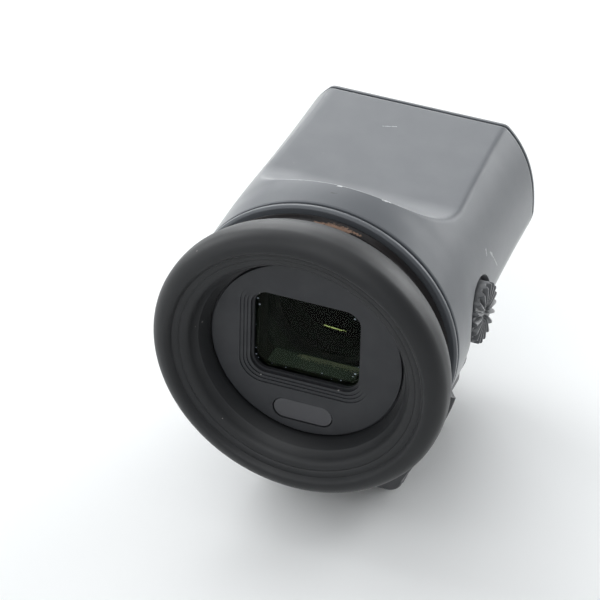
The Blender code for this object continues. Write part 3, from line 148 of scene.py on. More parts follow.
def mixed(tree, factor, first, second):
    """Blend of two colours by a factor; each colour is three numbers or a socket."""
    node = tree.nodes.new("ShaderNodeMix")
    node.data_type = "RGBA"
    tree.links.new(factor, node.inputs["Factor"])
    for socket, value in ((node.inputs[6], first), (node.inputs[7], second)):
        if isinstance(value, tuple):
            socket.default_value = (*value, 1.0)
        else:
            tree.links.new(value, socket)
    return node.outputs[2]


def finish_material(name, colour, dark, roughness, metallic=0.0, specular=0.5, grain_scale=9000.0,
                    mottle_scale=350.0, bump=0.15, bump_depth=0.00002, gloss_swing=0.06, dust_amount=0.0,
                    dust_scale=900.0, dust_colour=(0.45, 0.44, 0.42), sheen=0.0):
    """Material of one solid finish: mottled colour, uneven gloss, grain in the bump, and a little dust."""
    material = bpy.data.materials.new(name)
    material.use_nodes = True
    tree = material.node_tree
    shader = tree.nodes["Principled BSDF"]
    shader.inputs["Metallic"].default_value = metallic
    shader.inputs["Specular IOR Level"].default_value = specular
    shader.inputs["Sheen Weight"].default_value = sheen
    shader.inputs["Sheen Roughness"].default_value = 0.35
    surface = placed(tree, grain, Scale=grain_scale, Mottle_Scale=mottle_scale)
    shade = ramp(tree, surface.outputs["Mottle"], 0.35, 0.65, dark, colour)
    if dust_amount:
        specks = placed(tree, dust, Scale=dust_scale, Amount=dust_amount)
        shade = mixed(tree, specks.outputs["Mask"], shade, dust_colour)
    tree.links.new(shade, shader.inputs["Base Color"])
    gloss = ramp(tree, surface.outputs["Mottle"], 0.3, 0.7, roughness + gloss_swing, roughness - gloss_swing)
    tree.links.new(gloss, shader.inputs["Roughness"])
    relief = tree.nodes.new("ShaderNodeBump")
    relief.inputs["Strength"].default_value = bump
    relief.inputs["Distance"].default_value = bump_depth
    tree.links.new(surface.outputs["Height"], relief.inputs["Height"])
    tree.links.new(relief.outputs["Normal"], shader.inputs["Normal"])
    return material


def coat(piece, material):
    """Give a piece one material all over."""
    piece.data.materials.clear()
    piece.data.materials.append(material)


def break_edges(piece, radius, sharpness):
    """Round the edges of a piece where its faces turn by more than so many degrees."""
    rounding = piece.modifiers.new("broken_edge", "BEVEL")
    rounding.width = radius
    rounding.segments = 2
    rounding.limit_method = "ANGLE"
    rounding.angle_limit = math.radians(sharpness)


def dress(names, material, edge=0.0):
    """Give CAD nodes a material, and break their sharp edges by a small radius."""
    for name in names:
        coat(nodes[name], material)
        if edge:
            break_edges(nodes[name], edge, 40)


blackened_metal = finish_material("blackened_metal", (0.055, 0.056, 0.060), (0.040, 0.041, 0.044), 0.38,
                                  metallic=0.6, grain_scale=7000.0, bump=0.25)
moulded_block = finish_material("moulded_block", (0.022, 0.022, 0.024), (0.016, 0.016, 0.018), 0.5)
gold_plate = finish_material("gold_plate", (0.83, 0.62, 0.25), (0.75, 0.54, 0.20), 0.25, metallic=1.0,
                             grain_scale=12000.0, bump=0.1)
dress(["shoe_foot"], blackened_metal, 0.00012)
dress(["foot_screw_%d" % number for number in range(1, 5)], blackened_metal, 0.00006)
dress(["contact_block"], moulded_block, 0.00005)
dress(["contact_pin_%d" % number for number in range(1, 5)], gold_plate, 0.00008)

# Base: a moulded lower housing, matt black coated, that cradles the finder's head and ends in the two ears
# of the hinge. Its room holds the connector board, and a flush cover closes it from below.

mm = 0.001
axis_z = 29.0 * mm              # optical axis above the underside of the foot
housing_y = -15.3 * mm          # rear edge of the head's housing
housing_length = 34.2 * mm
hinge_y = 13.7 * mm
hinge_z = 11.2 * mm
base_z = 3.6 * mm


def eased(table, share):
    """Smooth curve through a table of (share, value) rows."""
    if share <= table[0][0]:
        return table[0][1]
    if share >= table[-1][0]:
        return table[-1][1]
    for index in range(len(table) - 1):
        low, high = table[index], table[index + 1]
        if share <= high[0]:
            before = table[max(index - 1, 0)]
            after = table[min(index + 2, len(table) - 1)]
            width = high[0] - low[0]
            slope_low = (high[1] - before[1]) / (high[0] - before[0]) * width
            slope_high = (after[1] - low[1]) / (after[0] - low[0]) * width
            t = (share - low[0]) / width
            return ((2 * t ** 3 - 3 * t ** 2 + 1) * low[1] + (t ** 3 - 2 * t ** 2 + t) * slope_low
                    + (3 * t ** 2 - 2 * t ** 3) * high[1] + (t ** 3 - t ** 2) * slope_high)


# How far the head's section has gone from round to its far form, against the share of the housing's length
section_change = ((0.0, 0.0), (0.07, 0.0), (0.14, 0.03), (0.22, 0.25), (0.33, 0.50), (0.45, 0.68),
                  (0.58, 0.82), (0.80, 0.95), (1.0, 1.0))
# In millimetres: the round section's radius, and how the shoulder changes it at the top, sides and keel
round_radius, top_swell, side_draw, keel_draw = 18.4, 0.5, 0.1, 0.4
shoulder_length = 4.7 * mm
far_half_width, far_top, far_keel = 16.9 * mm, 16.4 * mm, 17.6 * mm
flat_rise = 12.8 * mm           # flat top above the optical axis
sweep_start = 13.9 * mm         # where the hollow sweep leaves the flat, from the housing's rear edge
sweep_radius = 10.6 * mm
crest_softness = 0.4 * mm
belly_drop = 14.2 * mm          # flat belly below the optical axis
belly_softness = 0.5 * mm


def soft_least(first, second, radius):
    """The smaller of two lengths, with a rounded change from one to the other."""
    gap = max(0.0, 1.0 - abs(first - second) / radius)
    return min(first, second) - gap * gap * radius / 4


def head_radius(along, angle, inset, scoop_drop=0.0, scooped=True):
    """Distance of the head's skin from the optical axis, at a place along Y and an angle from +X to +Z."""
    change = eased(section_change, (along - housing_y) / housing_length)
    rise = math.sin(min(1.0, max(0.0, (along - housing_y) / shoulder_length)) * math.pi / 2)
    half_width = (round_radius - side_draw * rise) * mm
    half_width += (far_half_width - half_width) * change - inset
    top = (round_radius + top_swell * rise) * mm
    top += (far_top - top) * change * change - inset
    keel = (round_radius - keel_draw * rise) * mm
    keel += (far_keel - keel) * change - inset
    cosine, sine = math.cos(angle), math.sin(angle)
    if sine >= 0:
        height, power = top, 2.0 + 0.5 * change
    else:
        height, power = keel, 2.0 - 0.55 * change
    radius = (abs(cosine / half_width) ** power + abs(sine / height) ** power) ** (-1 / power)
    if sine > 0.05 and scooped:
        flat = flat_rise - scoop_drop
        before = housing_y + sweep_start - along
        sweep = sweep_radius + scoop_drop
        if before > 0:
            lift = sweep - math.sqrt(max(0.0, sweep ** 2 - before ** 2)) if before < sweep else sweep * 2
            flat += lift
        radius = soft_least(radius, flat / sine, crest_softness)
    if sine < -0.05:
        radius = soft_least(radius, (belly_drop - inset) / -sine, belly_softness)
    return radius


def skin(name, rings, closed=False, smooth=35.0):
    """Mesh skinned over rings of as many points; the last ring joins the first, or both are capped."""
    bm = bmesh.new()
    rows = [[bm.verts.new(point) for point in ring] for ring in rings]
    pairs = list(zip(rows, rows[1:]))
    if closed:
        pairs.append((rows[-1], rows[0]))
    count = len(rows[0])
    for row, other in pairs:
        for index in range(count):
            after = (index + 1) % count
            bm.faces.new((row[index], row[after], other[after], other[index]))
    if not closed:
        bm.faces.new(rows[0])
        bm.faces.new(rows[-1])
    bmesh.ops.remove_doubles(bm, verts=bm.verts, dist=1e-7)
    bmesh.ops.recalc_face_normals(bm, faces=bm.faces)
    mesh = bpy.data.meshes.new(name)
    bm.to_mesh(mesh)
    bm.free()
    mesh.shade_smooth()
    mesh.set_sharp_from_angle(angle=math.radians(smooth))
    piece = bpy.data.objects.new(name, mesh)
    bpy.context.scene.collection.objects.link(piece)
    return piece


def carve(piece, tools, operation="DIFFERENCE"):
    """Cut a piece with tools, or join them to it, and drop the tools."""
    for tool in tools:
        modifier = piece.modifiers.new("carve", "BOOLEAN")
        modifier.operation = operation
        modifier.solver = "MANIFOLD"
        modifier.object = tool
        graph = bpy.context.evaluated_depsgraph_get()
        mesh = bpy.data.meshes.new_from_object(piece.evaluated_get(graph))
        piece.modifiers.remove(modifier)
        piece.data = mesh
        bpy.data.objects.remove(tool, do_unlink=True)
    piece.data.shade_smooth()
    piece.data.set_sharp_from_angle(angle=math.radians(35.0))


def round_bar(name, centre, low, high, radius, steps):
    """Bar along X about a place in Y and Z, used as a cutter or a boss."""
    angles = [math.tau * step / steps for step in range(steps)]
    circle = [(centre[0] + radius * math.cos(a), centre[1] + radius * math.sin(a)) for a in angles]
    return extrude(name, circle, low, high, "X")


def head_form(name, low, high, inset):
    """Solid of the head's outer form between two places along Y, without the scoop in its top."""
    stops, turns = 60, 160
    rings = []
    for stop in range(stops + 1):
        along = low + (high - low) * stop / stops
        ring = []
        for turn in range(turns):
            angle = math.tau * turn / turns
            radius = head_radius(along, angle, inset, scooped=False)
            ring.append((radius * math.cos(angle), along, axis_z + radius * math.sin(angle)))
        rings.append(ring)
    return skin(name, rings)


def extrude(name, outline, low, high, axis):
    """Solid of an outline of pairs, extruded along an axis."""
    rings = []
    for along in (low, high):
        if axis == "X":
            rings.append([(along, first, second) for first, second in outline])
        elif axis == "Y":
            rings.append([(first, along, second) for first, second in outline])
        else:
            rings.append([(first, second, along) for first, second in outline])
    return skin(name, rings)


def rounded_rectangle(centre, width, height, corner, steps=10):
    """Outline of a rectangle with round corners."""
    points = []
    for quarter, (side_x, side_y) in enumerate(((1, 1), (-1, 1), (-1, -1), (1, -1))):
        middle_x = centre[0] + side_x * (width / 2 - corner)
        middle_y = centre[1] + side_y * (height / 2 - corner)
        for step in range(steps + 1):
            angle = math.pi / 2 * (quarter + step / steps)
            points.append((middle_x + corner * math.cos(angle), middle_y + corner * math.sin(angle)))
    return points


def brick(name, low, high):
    """Box between its lowest and its highest corner."""
    return extrude(name, [(low[0], low[1]), (high[0], low[1]), (high[0], high[1]), (low[0], high[1])],
                   low[2], high[2], "Z")


matt_coat = finish_material("matt_coat", (0.081, 0.088, 0.099), (0.077, 0.084, 0.095), 0.47, specular=0.5,
                            grain_scale=11000.0, mottle_scale=300.0, bump=0.22, bump_depth=0.000012,
                            gloss_swing=0.02, dust_amount=0.004, dust_scale=2200.0,
                            dust_colour=(0.20, 0.20, 0.20), sheen=0.6)
# A darker copy of the matt coat for the base and its cover: painted shade, for the shade under the eyecup
base_coat_painted_shade = finish_material("base_coat_painted_shade", (0.052, 0.053, 0.057), (0.048, 0.049, 0.053), 0.46, specular=0.5,
                            grain_scale=11000.0, mottle_scale=300.0, bump=0.22, bump_depth=0.000012,
                            sheen=0.25)

cradle_y = housing_y + 0.8 * mm
cradle_end_y = hinge_y - 3.3 * mm
lead_in = 0.4 * mm              # length over which the cradle's front edge is rounded
head_gap = 0.4 * mm
cradle_corner = 2.0 * mm
# Half widths, and drops below the optical axis, in millimetres: at the eyepiece end and at the hinge end
foot_half_width = (11.2, 10.6)
bulge_half_width = (15.8, 10.6)
top_half_width = (18.1, 10.6)
bulge_drop = (14.0, 19.8)
top_drop = (7.4, 14.6)
# How far the cradle has narrowed and its side has dropped, against the share of its length
narrowing = ((0.0, 0.0), (0.16, 0.22), (0.36, 0.52), (0.58, 0.80), (0.80, 1.0), (1.0, 1.0))
lowering = ((0.0, 0.0), (0.16, 0.35), (0.36, 0.65), (0.58, 0.88), (0.80, 1.0), (1.0, 1.0))


def between(ends, share):
    """Size in metres at a share of the way between two ends given in millimetres."""
    return (ends[0] + (ends[1] - ends[0]) * share) * mm


def cradle_section(along, inset):
    """Right and left half of the cradle's section: flat bottom, round corner, bulging side."""
    share = (along - cradle_y) / (cradle_end_y - cradle_y)
    narrow, drop = eased(narrowing, share), eased(lowering, share)
    foot = between(foot_half_width, narrow) - inset
    bulge = between(bulge_half_width, narrow) - inset
    top = between(top_half_width, narrow) - inset
    top_z = axis_z - between(top_drop, drop)
    bulge_z = axis_z - between(bulge_drop, narrow)
    bottom_z = base_z + inset
    corner_steps, side_steps = 8, 24
    side = []
    for step in range(corner_steps + 1):
        angle = math.pi / 2 * step / corner_steps
        side.append((foot - cradle_corner * (1 - math.sin(angle)),
                     bottom_z + cradle_corner * (1 - math.cos(angle))))
    start = side[-1]
    pull = (2 * bulge - (start[0] + top) / 2, 2 * bulge_z - (start[1] + top_z) / 2)
    for step in range(1, side_steps + 1):
        share = step / side_steps
        rest = 1 - share
        side.append((rest * rest * start[0] + 2 * rest * share * pull[0] + share * share * top,
                     rest * rest * start[1] + 2 * rest * share * pull[1] + share * share * top_z))
    return [(x, along, z) for x, z in side] + [(-x, along, z) for x, z in reversed(side)]


cradle_steps = 48
rings = [cradle_section(cradle_y, lead_in), cradle_section(cradle_y + 0.12 * mm, 0.12 * mm)]
for step in range(cradle_steps + 1):
    reach = (cradle_end_y - cradle_y - lead_in) * step / cradle_steps
    rings.append(cradle_section(cradle_y + lead_in + reach, 0.0))
cradle = skin("cradle_moulding", rings)
carve(cradle, [head_form("head_room", cradle_y - 4 * mm, housing_y + housing_length, -head_gap)])

ear_radius, ear_steps = 3.1 * mm, 24
ear_inner, ear_outer = 6.9 * mm, 9.5 * mm
ear_root_y = cradle_end_y - 1.2 * mm
pin_radius, pin_head_radius = 1.2 * mm, 1.95 * mm
pin_head_seat = 8.75 * mm
hinge_line = (hinge_y, hinge_z)
for side in (-1, 1):
    outline = [(hinge_y + ear_radius, base_z + 0.4 * mm)]
    for step in range(ear_steps + 1):
        angle = math.pi / 2 * step / ear_steps
        outline.append((hinge_y + ear_radius * math.cos(angle), hinge_z + ear_radius * math.sin(angle)))
    outline.append((ear_root_y, hinge_z + ear_radius))
    outline.append((ear_root_y, base_z))
    outline.append((hinge_y + 2.7 * mm, base_z))
    inner, outer = sorted((side * ear_inner, side * ear_outer))
    carve(cradle, [extrude("ear", outline, inner, outer, "X")], "UNION")
    start, end = sorted((side * 6.5 * mm, side * 10 * mm))
    seat, beyond = sorted((side * pin_head_seat, side * 10 * mm))
    carve(cradle, [round_bar("pin_hole", hinge_line, start, end, pin_radius, 48),
                   round_bar("head_hole", hinge_line, seat, beyond, pin_head_radius, 64)])
carve(cradle, [brick("bracket_room", (-6.7 * mm, hinge_y - 6.7 * mm, 12.9 * mm),
                     (6.7 * mm, cradle_end_y + 0.5 * mm, 14.8 * mm)),
               brick("board_room", (-7.2 * mm, -9 * mm, 1 * mm), (7.2 * mm, 5.5 * mm, 12.8 * mm)),
               brick("cover_room", (-8.2 * mm, -10 * mm, 1 * mm), (8.2 * mm, 6.5 * mm, 5.1 * mm))])
break_edges(cradle, 0.12 * mm, 50)
coat(cradle, base_coat_painted_shade)
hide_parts("base_cradle")
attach(cradle, "base")

board_lacquer = finish_material("board_lacquer", (0.02, 0.13, 0.07), (0.015, 0.10, 0.055), 0.4,
                                grain_scale=4000.0)
dress(["base_cover"], base_coat_painted_shade, 0.00015)
dress(["base_board", "sensor_board", "main_board"], board_lacquer, 0.00005)

# Hinge: a steel knuckle bracket under the head turns between the base's ears on two pressed-in pins, with
# thin spring washers that hold the head at any tilt. Two countersunk screws hold the bracket.

bright_steel = finish_material("bright_steel", (0.50, 0.50, 0.51), (0.42, 0.42, 0.43), 0.33, metallic=1.0,
                               grain_scale=8000.0, bump=0.1)
dress(["hinge_bracket"], blackened_metal, 0.00015)
dress(["bracket_screw_1", "bracket_screw_2", "hinge_washer_left", "hinge_washer_right"], bright_steel,
      0.00004)
dress(["hinge_pin_left", "hinge_pin_right"], bright_steel, 0.0001)

# Head housing: a moulded shell, round at the eyepiece and square-shouldered behind, with a hollow sweep down
# to a flat top. It is coated matt black; the coat has chipped a little along the crest and over the dial, and
# a thin lighter line along the crest is a painted highlight.

shell_wall = 1.3 * mm
far_y = housing_y + housing_length
neck_y = -19.7 * mm
neck_bore = 13.9 * mm
neck_radius, neck_lip_radius = 15.5 * mm, 15.4 * mm
dial_y = -5.1 * mm
pocket_x = 16.2 * mm            # floor of the dial's pocket


def mark_group():
    """Mask of a thin line between two points, broken up by noise, for worn marks and painted light: lengths
    in millimetres.
    """
    tree = bpy.data.node_groups.new("wear_and_painted_light_line", "ShaderNodeTree")
    for label in ("Start", "End"):
        tree.interface.new_socket(label, in_out="INPUT", socket_type="NodeSocketVector")
    width = tree.interface.new_socket("Width", in_out="INPUT", socket_type="NodeSocketFloat")
    width.default_value = 0.1
    tree.interface.new_socket("Mask", in_out="OUTPUT", socket_type="NodeSocketFloat")
    given, made = tree.nodes.new("NodeGroupInput"), tree.nodes.new("NodeGroupOutput")

    def vector(operation, first, second=None, scale=None):
        """One step of arithmetic on vector sockets."""
        node = tree.nodes.new("ShaderNodeVectorMath")
        node.operation = operation
        tree.links.new(first, node.inputs[0])
        if second is not None:
            tree.links.new(second, node.inputs[1])
        if scale is not None:
            if isinstance(scale, (int, float)):
                node.inputs["Scale"].default_value = scale
            else:
                tree.links.new(scale, node.inputs["Scale"])
        return node

    place = vector("SCALE", tree.nodes.new("ShaderNodeTexCoord").outputs["Object"], scale=1000.0).outputs[0]
    along = vector("SUBTRACT", given.outputs["End"], given.outputs["Start"]).outputs[0]
    away = vector("SUBTRACT", place, given.outputs["Start"]).outputs[0]
    dot = vector("DOT_PRODUCT", away, along).outputs["Value"]
    size = vector("DOT_PRODUCT", along, along).outputs["Value"]
    share = math_node(tree, "DIVIDE", dot, size, clamp=True)
    foot = vector("SCALE", along, scale=share).outputs[0]
    miss = vector("LENGTH", vector("SUBTRACT", away, foot).outputs[0]).outputs["Value"]
    rough = noise(tree, 5200.0, 2.0, 0.7)      # breaks the line up, and leaves gaps where it is low
    wander = math_node(tree, "SUBTRACT", math_node(tree, "MULTIPLY", rough, 3.0), 0.9)
    reach = math_node(tree, "MULTIPLY", given.outputs["Width"], wander)
    tree.links.new(math_node(tree, "LESS_THAN", miss, reach), made.inputs["Mask"])
    return tree


wear_and_painted_light_line = mark_group()


head_turns = 320
head_angles = [math.tau * turn / head_turns for turn in range(head_turns)]


def shell_skin():
    """Outer skin, far rim, inner skin and front neck in one closed surface."""

    def ring(along, inset, drop=0.0, edge=0.0):
        """Section of the head, set in by an inset, or cut back by an edge where a rim is rounded."""
        points = []
        for a in head_angles:
            radius = head_radius(along, a, inset, drop) - edge
            points.append((radius * math.cos(a), along, axis_z + radius * math.sin(a)))
        return points

    def circle(along, radius):
        return [(radius * math.cos(a), along, axis_z + radius * math.sin(a)) for a in head_angles]

    rings = [ring(housing_y, 0, 0, 0.22 * mm), ring(housing_y + 0.06 * mm, 0, 0, 0.06 * mm)]
    # close rows over the crest, wider ones behind it
    stops = [0.22 * mm + 5.78 * mm * (step / 60) for step in range(60)]
    stops += [6 * mm + (housing_length - 6.12 * mm) * (step / 110) for step in range(111)]
    rings += [ring(housing_y + stop, 0) for stop in stops]
    rings += [ring(far_y - 0.05 * mm, 0, 0, 0.03 * mm), ring(far_y, 0, 0, 0.12 * mm)]
    inner = [far_y - (housing_length - shell_wall) * (step / 40) for step in range(41)]
    rings += [ring(stop, shell_wall, shell_wall) for stop in inner]
    rings += [circle(housing_y + shell_wall, neck_bore), circle(neck_y, neck_bore),
              circle(neck_y, neck_lip_radius), circle(neck_y + 0.1 * mm, neck_radius),
              circle(housing_y, neck_radius)]
    return skin("housing_shell", rings, closed=True)


shell = shell_skin()
opening_share = 0.86            # keeps the opening inside the belly's edges
opening_side = ((11.9, -13.8), (11.2, -11), (10.2, -8), (9.2, -5), (8.5, -1), (7.6, 4), (6.9, 9), (6.5, 14),
                (6.3, 25))
outline = [(x * opening_share * mm, y * mm) for x, y in opening_side]
outline += [(-x * opening_share * mm, y * mm) for x, y in reversed(opening_side)]
carve(shell, [extrude("belly_opening", outline, 12.5 * mm, 16.4 * mm, "Z")])
dial_line = (dial_y, axis_z)
carve(shell, [round_bar("shaft_boss", dial_line, 14.6 * mm, pocket_x + 0.15 * mm, 5.5 * mm, 96)], "UNION")
carve(shell, [round_bar("dial_pocket", dial_line, pocket_x, 21 * mm, 4.9 * mm, 128),
              round_bar("shaft_hole", dial_line, 14 * mm, 18 * mm, 1.15 * mm, 48)])


def add_marks(material, marks, colour):
    """Let marks of one colour show in a material, along lines of (start, end, width) in millimetres."""
    tree = material.node_tree
    shader = tree.nodes["Principled BSDF"]
    shade = shader.inputs["Base Color"].links[0].from_socket
    for start, end, width in marks:
        line = placed(tree, wear_and_painted_light_line, Width=width)
        line.inputs["Start"].default_value = start
        line.inputs["End"].default_value = end
        shade = mixed(tree, line.outputs["Mask"], shade, colour)
    tree.links.new(shade, shader.inputs["Base Color"])


shell_coat = matt_coat.copy()
shell_coat.name = "shell_coat"
# Points along the crest, where a thin lighter line is painted as the crest's highlight
crest_points = ((-8.6, -9.7, 45.6), (-7.1, -10.3, 46.4), (-5.5, -10.7, 47.0), (-2.7, -11.05, 47.65),
                (0.0, -11.15, 47.85), (1.4, -11.1, 47.8), (3.0, -10.95, 47.6), (4.5, -10.8, 47.25),
                (6.1, -10.55, 46.8), (7.6, -10.15, 46.2), (9.0, -9.5, 45.4))
crest_painted_highlight = tuple((start, end, 0.13) for start, end in zip(crest_points, crest_points[1:]))
chips = (((-0.2, -11.3, 47.85), (0.3, -11.25, 47.85), 0.16),
         ((5.8, -10.7, 46.85), (6.5, -10.45, 46.65), 0.26))
scratches = (((-2.7, 12.7, 41.8), (-1.0, 13.3, 41.8), 0.10), ((16.6, -0.5, 35.6), (16.75, -0.6, 34.9), 0.24),
             ((16.85, 0.8, 34.4), (16.95, 1.3, 33.7), 0.26), ((16.95, 1.2, 33.8), (17.2, 3.2, 30.8), 0.11))
dark_specks = (((-0.5, -12.9, 47.75), (0.2, -12.8, 47.75), 0.08),
               ((13.2, 13.5, 41.2), (13.25, 13.55, 41.2), 0.1))
coat(shell, shell_coat)
add_marks(shell_coat, crest_painted_highlight, (0.19, 0.20, 0.21))
add_marks(shell_coat, chips, (0.55, 0.56, 0.57))
add_marks(shell_coat, scratches, (0.34, 0.35, 0.36))
add_marks(shell_coat, dark_specks, (0.03, 0.03, 0.03))
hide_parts("body_shell")
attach(shell, "head")
dress(["belly_cover"], matt_coat, 0.00015)

# End plate: a thin moulded cover glued into the far end of the shell; a fine seam runs round just inside
# its edge.


def plate_ring(along, edge):
    """Outline of the plate at a place along Y, set in by an edge from the shell's far rim."""
    ring = []
    for angle in head_angles:
        radius = head_radius(far_y, angle, 0) - edge
        ring.append((radius * math.cos(angle), along, axis_z + radius * math.sin(angle)))
    return ring


plate_y = far_y + 0.3 * mm
# Rows of (place behind the plate's inner face, edge) in millimetres, from the inside round the rim
plate_rows = ((-0.6, 1.65), (0.0, 1.6), (0.0, 0.12), (0.06, 0.03), (0.3, 0.0), (0.42, 0.06), (0.5, 0.22),
              (0.5, 4.0))
end_plate = skin("far_end_plate", [plate_ring(plate_y + out * mm, edge * mm) for out, edge in plate_rows])
coat(end_plate, matt_coat)
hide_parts("end_plate")
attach(end_plate, "head")

# Collar and gloss ring: a narrow matt lip with a fine groove behind it, and a polished dark ring in front of
# it, slightly waisted, that clamps the eyecup on the housing's neck. A bronze highlight is painted on its
# top.


def softened(outline, radius, closed=True, steps=4):
    """Outline with each corner rounded; a corner is cut back by at most the radius."""
    count = len(outline)
    points = []
    for index, corner in enumerate(outline):
        if not closed and index in (0, count - 1):
            points.append(corner)
            continue
        here = Vector(corner)
        before = Vector(outline[index - 1])
        after = Vector(outline[(index + 1) % count])
        start = here + (before - here).normalized() * min(radius, (before - here).length * 0.45)
        end = here + (after - here).normalized() * min(radius, (after - here).length * 0.45)
        for step in range(steps + 1):
            t = step / steps
            point = start * (1 - t) ** 2 + here * 2 * t * (1 - t) + end * t * t
            points.append((point.x, point.y))
    return points


def lathe(name, outline, steps=192, closed=True):
    """Piece turned about the optical axis from an outline of (radius, place along Y)."""
    rings = []
    for radius, along in outline:
        rings.append([(radius * math.cos(math.tau * step / steps), along,
                       axis_z + radius * math.sin(math.tau * step / steps)) for step in range(steps)])
    return skin(name, rings, closed=closed, smooth=40.0)


def metres(outline):
    """Outline given in millimetres, in metres."""
    return [(first * mm, second * mm) for first, second in outline]


gloss_black = finish_material("gloss_black", (0.010, 0.008, 0.008), (0.007, 0.006, 0.007), 0.26,
                              specular=0.15, grain_scale=3000.0, bump=0.03, gloss_swing=0.05,
                              dust_amount=0.01, dust_scale=1500.0)
# painted highlight: a bronze reflection painted along the top of the gloss ring
bronze_painted_highlight = (((-0.9, -17.6, 46.2), (1.2, -17.5, 46.2), 0.30),
               ((1.1, -17.5, 46.15), (3.6, -17.4, 45.8), 0.50),
               ((3.4, -17.3, 45.9), (5.2, -17.3, 45.5), 0.22))
add_marks(gloss_black, bronze_painted_highlight, (0.24, 0.15, 0.105))
outline = [(15.8, -18.6), (17.5, -18.6), (17.6, -18.45), (17.2, -17.95), (17.1, -17.6), (17.2, -17.25),
           (17.6, -16.85), (17.5, -16.7), (15.8, -16.7)]
ring = lathe("clamp_ring", softened(metres(outline), 0.15 * mm))
coat(ring, gloss_black)
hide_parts("eyecup_ring")
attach(ring, "head")

outline = [(15.8, -16.4), (18.1, -16.4), (18.4, -16.15), (18.4, -15.75), (18.25, -15.6), (15.8, -15.6)]
collar = lathe("collar_lip", softened(metres(outline), 0.12 * mm))
coat(collar, matt_coat)
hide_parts("collar_ring")
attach(collar, "head")

# Dioptre dial: a small moulded wheel in a shallow pocket, with a smooth side wall and radial ribs on its
# face for the fingertip. It turns a steel shaft whose off-centre pin moves the lens carrier.

dial_ribs = 18
dial_base, dial_face = 16.8 * mm, 18.7 * mm     # inner and outer face, from the optical axis
valley = dial_face - 0.6 * mm                   # floor between the ribs


def dial_ring(radius, height_low, height_high):
    """Circle of the dial's face: pointed ribs between two heights."""
    ring = []
    per_rib = 12
    for step in range(dial_ribs * per_rib):
        angle = math.tau * step / (dial_ribs * per_rib)
        phase = (step % per_rib) / per_rib
        wave = min(1.0, max(0.0, 2.6 * (1 - abs(2 * phase - 1)) - 1.0))
        height = height_low + (height_high - height_low) * wave
        ring.append((height, dial_y + radius * math.cos(angle), axis_z + radius * math.sin(angle)))
    return ring


# Rows of radius in millimetres and the heights of valley and rib, from the shaft round the rim to the middle
dial_rows = ((1.2, dial_base, dial_base), (3.95, dial_base, dial_base),
             (4.1, dial_base + 0.12 * mm, dial_base + 0.12 * mm),
             (4.1, valley - 0.12 * mm, dial_face - 0.22 * mm),
             (4.02, valley - 0.03 * mm, dial_face - 0.06 * mm), (3.85, valley, dial_face),
             (3.0, valley, dial_face), (2.0, valley, dial_face - 0.02 * mm),
             (1.3, valley, dial_face - 0.1 * mm), (0.95, valley, valley + 0.1 * mm), (0.5, valley, valley))
rings = [dial_ring(radius * mm, low, high) for radius, low, high in dial_rows]
dial = skin("dioptre_wheel", rings, smooth=30.0)
dial_black = finish_material("dial_black", (0.085, 0.089, 0.096), (0.072, 0.075, 0.081), 0.34,
                             grain_scale=7000.0, bump=0.2, dust_amount=0.05, dust_scale=2200.0, sheen=0.4)
coat(dial, dial_black)
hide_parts("dioptre_dial")
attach(dial, "dial")
dress(["dial_washer", "dial_shaft"], bright_steel, 0.00004)

# Display end of the light path: a small display panel in a metal frame, the driver board on four posts
# behind it, and an amber flat cable that joins the two.

display_glass = finish_material("display_glass", (0.010, 0.016, 0.012), (0.008, 0.012, 0.010), 0.08,
                                grain_scale=500.0, bump=0.0)
cable_film = finish_material("cable_film", (0.45, 0.25, 0.08), (0.38, 0.20, 0.06), 0.35)
dress(["display_panel"], display_glass, 0.00005)
dress(["display_frame"], blackened_metal, 0.0001)
dress(["flex_cable"], cable_film)

# Lens group: a moulded barrel that slides in a fixed tube, with two ground lenses. Fine threads inside the
# tube keep stray light down, and a threaded ring holds the rear lens.

barrel_black = finish_material("barrel_black", (0.060, 0.066, 0.062), (0.052, 0.058, 0.054), 0.6,
                               specular=0.2, grain_scale=6000.0)
dress(["lens_tube", "lens_carrier"], barrel_black)
dress(["lens_retainer"], blackened_metal, 0.00005)


def glass_material(name, tint, coat_tint, ior):
    """Coated glass with a slow change of tint; its index is low, as the coating dulls reflections."""
    material = bpy.data.materials.new(name)
    material.use_nodes = True
    tree = material.node_tree
    shader = tree.nodes["Principled BSDF"]
    shader.inputs["Transmission Weight"].default_value = 1.0
    shader.inputs["IOR"].default_value = ior
    shader.inputs["Roughness"].default_value = 0.0
    surface = placed(tree, grain, Scale=600.0, Mottle_Scale=120.0)
    shade = ramp(tree, surface.outputs["Mottle"], 0.3, 0.7, tint, coat_tint)
    tree.links.new(shade, shader.inputs["Base Color"])
    return material


def add_painted_glint(material, start, end, width, colour):
    """A painted glint: a thin line in a glass that glows where its polished edge would catch the light; ends
    in millimetres.
    """
    tree = material.node_tree
    shader = tree.nodes["Principled BSDF"]
    line = placed(tree, wear_and_painted_light_line, Width=width)
    line.inputs["Start"].default_value = start
    line.inputs["End"].default_value = end
    glow = mixed(tree, line.outputs["Mask"], (0.0, 0.0, 0.0), colour)
    tree.links.new(glow, shader.inputs["Emission Color"])
    shader.inputs["Emission Strength"].default_value = 2.0


lens_rows = 14                  # rings from a lens's middle to its edge


def lens(name, edge_y, edge, crown, radius):
    """Lens with two domed faces, each rising by the crown from an edge of the given thickness."""
    near, far = [], []
    for row in range(1, lens_rows + 1):
        share = row / lens_rows
        sag = crown * (1 - share * share)
        near.append((radius * share, edge_y - sag))
        far.append((radius * share, edge_y + edge + sag))
    return lathe(name, near + far[::-1], 96, closed=False)


lens_glass = glass_material("lens_glass", (0.46, 0.58, 0.54), (0.42, 0.54, 0.50), 1.05)
